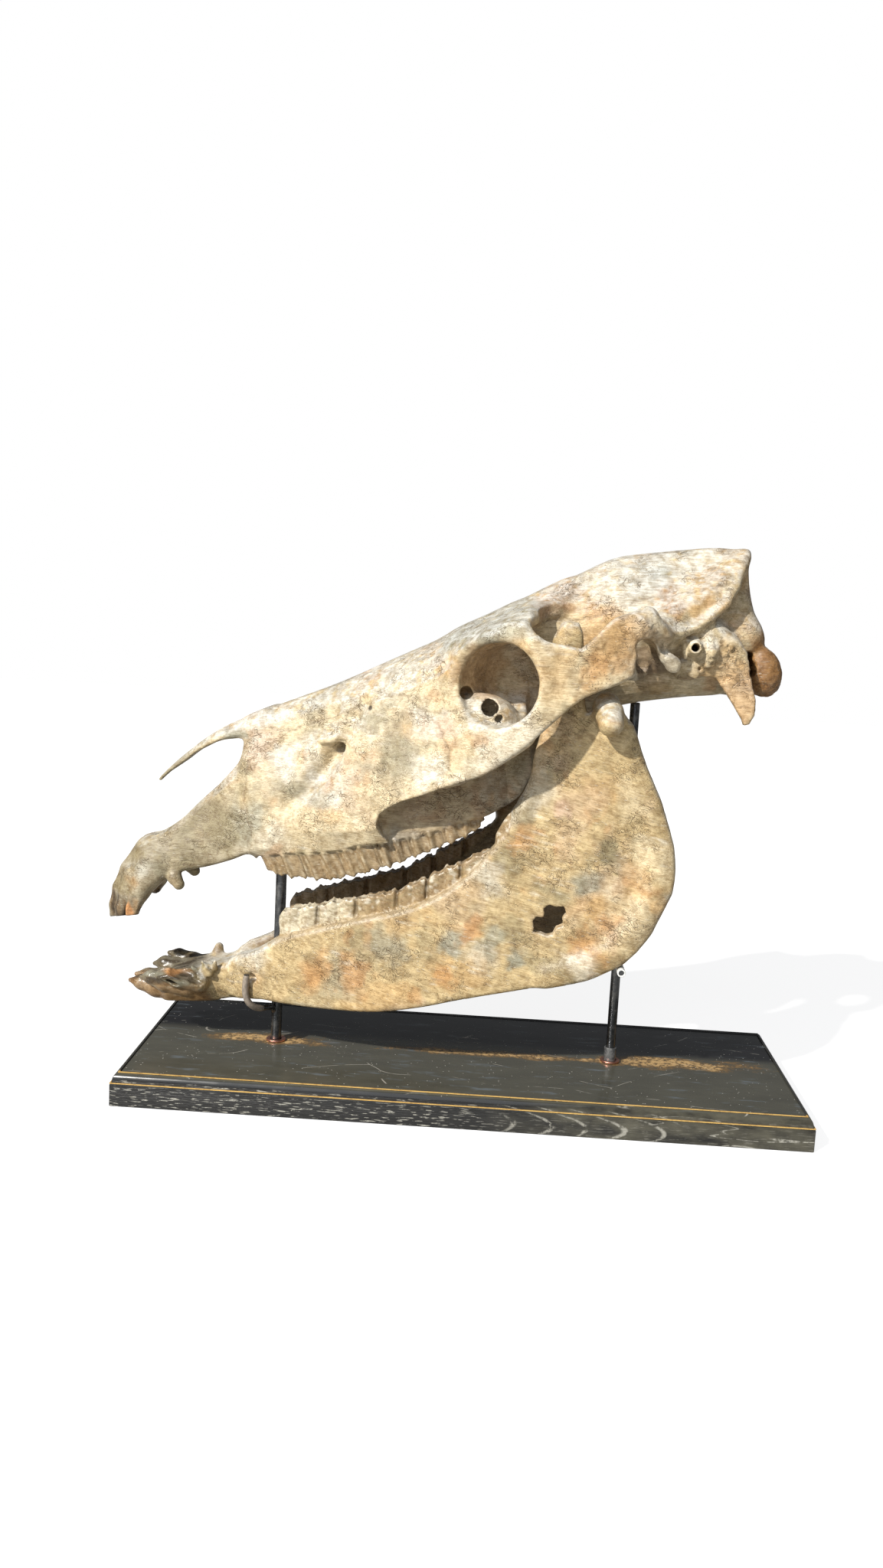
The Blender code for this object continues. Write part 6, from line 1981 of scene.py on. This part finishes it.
def rounded_bar(name, start, end, radius, rounding=0.8, segments=40):
    """A straight bar with rounded ends."""
    start, end = np.array(start, float), np.array(end, float)
    along = (end - start) / np.linalg.norm(end - start)
    turn = np.linspace(0, np.pi / 2, 5)
    steps = [(rounding * (1 - np.sin(t)), radius - rounding * (1 - np.cos(t))) for t in turn]
    path = [start + along * s for s, _ in steps[::-1]] + [end - along * s for s, _ in steps]
    radii = [r for _, r in steps[::-1]] + [r for _, r in steps]
    return bar(name, path, radii, segments)


RING_SEGMENTS = 48


def turned_ring(name, start, end, inner, outer, rounding=0.4):
    """A ring or sleeve with a bore and rounded edges, between two points of its axis."""
    shape = bmesh.new()
    start, end = np.array(start, float), np.array(end, float)
    length = np.linalg.norm(end - start)
    along = (end - start) / length
    across = np.array([1.0, 0.0, 0.0])
    up = np.cross(along, across)
    section = []
    for t, r, first in (
        (rounding, outer - rounding, np.pi), (length - rounding, outer - rounding, np.pi / 2),
        (length - rounding, inner + rounding, 0), (rounding, inner + rounding, -np.pi / 2),
    ):
        for a in first + np.linspace(0, -np.pi / 2, 4):
            section.append((t + rounding * np.cos(a), r + rounding * np.sin(a)))
    rings = [ring_of(shape, start + t * along, across, up, r, RING_SEGMENTS) for t, r in section]
    bridge(shape, rings, closed=True)
    return new_mesh(shape, name)


MOULDING_STEP = 1.2  # how far the moulding starts inside the upright faces
BOARD_CORNER = 0.7  # the radius of its upright corners


def board_section(top):
    """The board's outline from below, as (inset, height): its face, a small step, the moulding."""
    steps = [(0.5, 0.0), (0.0, 0.5), (0.0, BASE_FACE - 0.7), (0.25, BASE_FACE - 0.15), (0.8, BASE_FACE)]
    for turn in np.linspace(0.06, 1, 12) * np.pi / 2:
        inset = MOULDING_STEP + (BASE_INSET - MOULDING_STEP) * (1 - np.cos(turn))
        steps.append((inset, BASE_FACE + (top - BASE_FACE) * np.sin(turn)))
    return steps


def base_board(finish):
    """The board: upright faces, a small step, the rounded moulding and the flat top."""
    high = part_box("base_board")[1]
    shape = bmesh.new()
    loops = []
    for inset, height in board_section(high.z / MM):
        length, depth = (reach / MM - inset - BOARD_CORNER for reach in (high.x, high.y))
        loop = []
        for i, j, first in ((1, 1, 0), (-1, 1, 1), (-1, -1, 2), (1, -1, 3)):
            for a in (first + np.linspace(0, 1, 4)) * np.pi / 2:
                x = i * length + BOARD_CORNER * np.cos(a)
                y = j * depth + BOARD_CORNER * np.sin(a)
                loop.append(shape.verts.new((x * MM, y * MM, height * MM)))
        loops.append(loop)
    bridge(shape, loops)
    shape.faces.new(loops[0])
    shape.faces.new(loops[-1])
    shown("board", new_mesh(shape, "board", 0.7), finish, "ebonised_wood", "base_board")


PATH_SPACING = 0.8


def smooth_path(points):
    """A smooth curve through the points."""
    p = np.asarray(points, float)
    p = np.concatenate([[2 * p[0] - p[1]], p, [2 * p[-1] - p[-2]]])
    made = []
    for a, b, c, d in zip(p[:-3], p[1:-2], p[2:-1], p[3:]):
        for t in np.linspace(0, 1, max(2, int(np.linalg.norm(c - b) / PATH_SPACING)), endpoint=False):
            made.append(
                0.5 * (2 * b + (c - a) * t + (2 * a - 5 * b + 4 * c - d) * t**2
                + (3 * b - a - 3 * c + d) * t**3)
            )
    return np.array(made + [p[-2]])


def on_axis(x, low, high):
    """The foot and the head of a box that stands at x, in millimetres."""
    return (x, 0, low.z / MM), (x, 0, high.z / MM)


def front_support(steel, copper, rubber):
    foot, head = on_axis(FRONT_ROD_X, *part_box("front_rod"))
    rod = rounded_bar("front_rod_steel", foot, head, FRONT_ROD_RADIUS)
    shown("front_rod_steel", rod, steel, "dark_steel", "front_rod")
    for side, name in ((-1, "left"), (1, "right")):
        path = smooth_path([(x, side * y, z) for x, z, y in HOOK_ARM])
        radii = np.full(len(path), CRADLE_RADIUS - SLEEVE_WALL)
        shown("hook_" + name, bar("hook_" + name, path, radii, 28), steel, "dark_steel")
        sleeve = path[: int(SLEEVED_SHARE * len(path))]
        radii = np.full(len(sleeve), CRADLE_RADIUS)
        radii[:3] -= (0.6, 0.25, 0.08)
        radii[-3:] -= (0.05, 0.15, 0.3)
        shown("hook_sleeve_" + name, bar("hook_sleeve", sleeve, radii, 28), rubber, "dark_steel")
    foot, head = on_axis(FRONT_ROD_X, *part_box("front_collar"))
    collar = turned_ring("front_collar", foot, head, FRONT_ROD_RADIUS + GAP, COLLAR_RADIUS)
    shown("front_copper_collar", collar, copper, "copper", "front_collar")


def rear_support(steel, copper, clear, foot_finish):
    low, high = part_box("rear_rod")
    foot, head = on_axis(REAR_ROD_X, low, high)
    rod = rounded_bar("rear_rod_steel", foot, head, REAR_ROD_RADIUS)
    shown("rear_rod_steel", rod, steel, "dark_steel", "rear_rod")
    ends = [(CROSSBAR_X, side * -low.y / MM, CROSSBAR_Z) for side in (-1, 1)]
    shown("crossbar", rounded_bar("crossbar", *ends, CROSSBAR_RADIUS, 0.3, 24), steel, "dark_steel")
    head = (REAR_ROD_X, 0, foot[2] + FERRULE_HEIGHT)
    ferrule = turned_ring("ferrule", foot, head, REAR_ROD_RADIUS - 0.1, FERRULE_RADIUS, 0.5)
    shown("ferrule", ferrule, foot_finish, "clear_sleeve")
    for side, name in ((-1, "left"), (1, "right")):
        low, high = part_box("sleeve_" + name)
        reaches = sorted((abs(low.y) / MM, abs(high.y) / MM))
        ends = [(CROSSBAR_X, side * reach, CROSSBAR_Z) for reach in reaches]
        sleeve = turned_ring("sleeve", *ends, CROSSBAR_RADIUS + GAP, SLEEVE_RADIUS, 0.3)
        shown("clear_sleeve_" + name, sleeve, clear, "clear_sleeve", "sleeve_" + name)
    foot, head = on_axis(REAR_ROD_X, *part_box("rear_collar"))
    collar = turned_ring("rear_collar", foot, head, FERRULE_RADIUS + GAP, COLLAR_RADIUS)
    shown("rear_copper_collar", collar, copper, "copper", "rear_collar")


# ------------------------------------------------------------------ stage

CAMERA_PLACE = (0.00767, -0.99132, 0.38146)  # in metres, as are the other places on the stage
CAMERA_TURN = (0.0366, -0.13981, 0.05139)  # yaw, pitch and roll, in radians
CAMERA_LENS = 29.27
LIGHT_DIRECTION = (-0.9, -1.05, 1.0)  # where it comes from
KEY_DISTANCE = 3
KEY_STRENGTH = 5.3
KEY_SOFTNESS = 1.6  # the angle that it fills, in degrees
KEY_COLOUR = (1.0, 0.965, 0.9)
SOFTBOX_PLACE = (-0.7, -2.1, 1.7)
SOFTBOX_AIM = (0, 0, 0.2)
SOFTBOX_SIZE = 2.4
SOFTBOX_POWER = 30
SOFTBOX_COLOUR = (0.92, 0.96, 1.0)
FILL_STRENGTH = 0.13
FILL_COLOUR = (0.93, 0.96, 1.0, 1)
BACKDROP_COLOUR = (1, 1, 1, 1)
FLOOR_HALF = 4
FLOOR_DROP = 0.0003  # it lies this far under the base, so that the two don't touch


def camera():
    yaw, pitch, roll = CAMERA_TURN
    ahead = Vector((-np.sin(yaw) * np.cos(pitch), np.cos(yaw) * np.cos(pitch), np.sin(pitch)))
    level = Vector((np.cos(yaw), np.sin(yaw), 0))
    above = level.cross(ahead)
    right = np.cos(roll) * level + np.sin(roll) * above
    up = -np.sin(roll) * level + np.cos(roll) * above
    made = bpy.data.objects.new("camera", bpy.data.cameras.new("camera"))
    bpy.context.scene.collection.objects.link(made)
    made.data.lens = CAMERA_LENS
    made.data.sensor_width = 36
    made.data.clip_start = 0.05
    turn = Matrix((right, up, -ahead)).transposed().to_4x4()
    made.matrix_world = Matrix.Translation(CAMERA_PLACE) @ turn
    bpy.context.scene.camera = made


def lamp(name, kind, strength, colour):
    """A lamp of the given kind, not yet placed, and its light."""
    light = bpy.data.lights.new(name, kind)
    light.energy = strength
    light.color = colour
    made = bpy.data.objects.new(name, light)
    bpy.context.scene.collection.objects.link(made)
    return made, light


def key_light():
    """The sun lamp, which lights the skull from the upper left in front."""
    made, light = lamp("key", "SUN", KEY_STRENGTH, KEY_COLOUR)
    light.angle = np.radians(KEY_SOFTNESS)
    made.location = Vector(LIGHT_DIRECTION).normalized() * KEY_DISTANCE
    made.rotation_euler = (-Vector(LIGHT_DIRECTION)).to_track_quat("-Z", "Y").to_euler()


def softbox():
    """A large square lamp that looks at the stand."""
    made, light = lamp("softbox", "AREA", SOFTBOX_POWER, SOFTBOX_COLOUR)
    light.size = SOFTBOX_SIZE
    made.location = SOFTBOX_PLACE
    ahead = Vector(SOFTBOX_AIM) - Vector(SOFTBOX_PLACE)
    made.rotation_euler = ahead.to_track_quat("-Z", "Y").to_euler()


def world():
    """A dim fill of light from all round, which looks white to the camera."""
    made = bpy.data.worlds.new("studio")
    bpy.context.scene.world = made
    made.use_nodes = True
    tree = made.node_tree
    fill = tree.nodes["Background"]
    fill.inputs["Color"].default_value = FILL_COLOUR
    fill.inputs["Strength"].default_value = FILL_STRENGTH
    backdrop = tree.nodes.new("ShaderNodeBackground")
    backdrop.inputs["Color"].default_value = BACKDROP_COLOUR
    seen = tree.nodes.new("ShaderNodeLightPath")
    mixed = tree.nodes.new("ShaderNodeMixShader")
    tree.links.new(seen.outputs["Is Camera Ray"], mixed.inputs["Fac"])
    tree.links.new(fill.outputs[0], mixed.inputs[1])
    tree.links.new(backdrop.outputs[0], mixed.inputs[2])
    tree.links.new(mixed.outputs[0], tree.nodes["World Output"].inputs["Surface"])


def stage():
    shape = bmesh.new()
    bmesh.ops.create_grid(shape, x_segments=4, y_segments=4, size=FLOOR_HALF)
    floor = bpy.data.objects.new("floor", new_mesh(shape, "floor"))
    floor.location = (0, 0, -FLOOR_DROP)
    bpy.context.scene.collection.objects.link(floor)
    floor.data.materials.append(floor_finish())
    floor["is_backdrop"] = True
    world()
    key_light()
    softbox()
    bpy.context.scene.view_settings.view_transform = "Standard"


# ------------------------------------------------------------------ everything


def corners(box):
    return [list(map(float, corner)) for corner in box]


def gold_lines(gold):
    """The two inlaid lines keep their solids."""
    for name, finish in (("gold_line_lower", gold), ("gold_line_upper", front_gold_finish())):
        line = frame["nodes"][name]
        line.data.materials.clear()
        line.data.materials.append(finish)


def bones():
    cranium = bone(
        "cranium", cranium_sculpture(), CRANIUM_BOX, to_world=to_ground, turn=turned_to_ground,
        relief=cranium_relief, enamel_of=cranium_enamel, paint=cranium_paint, ground=CREAM, slant=0.0,
        patches=CRANIUM_PATCHES,
    )
    shown("cranium_bone", cranium, bone_finish("cranium_bone", 0), "cranium_bone", "cranium")
    mandible = bone(
        "mandible", mandible_sculpture(), MANDIBLE_BOX, to_world=as_it_is, turn=as_it_is,
        relief=mandible_relief, enamel_of=mandible_enamel, paint=mandible_paint, ground=TAN, slant=0.2,
        patches=MANDIBLE_PATCHES,
    )
    shown("mandible_bone", mandible, bone_finish("mandible_bone", 12), "mandible_bone", "mandible")


def main():
    cad_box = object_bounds()
    camera()
    stage()
    bones()
    steel = metal_finish("dark_steel", STEEL, WORN_STEEL, 0.24, 0.9)
    copper = metal_finish("copper", COPPER, DULL_COPPER, 0.3)
    gold = metal_finish("gold_line", GOLD, DULL_GOLD, 0.35, 0.35)
    clear = tube_finish("clear_sleeve", CLEAR_TUBE, CLOUDED_TUBE, 0.25)
    foot = tube_finish("ferrule", BLACK_TUBE, GREYED_TUBE, 0.22)
    rubber = tube_finish("hook_sleeve", BROWN_RUBBER, DUSTY_RUBBER, 0.35)
    base_board(wood_finish())
    gold_lines(gold)
    front_support(steel, copper, rubber)
    rear_support(steel, copper, clear, foot)
    {"cad": corners(cad_box), "visual": corners(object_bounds())}


main()
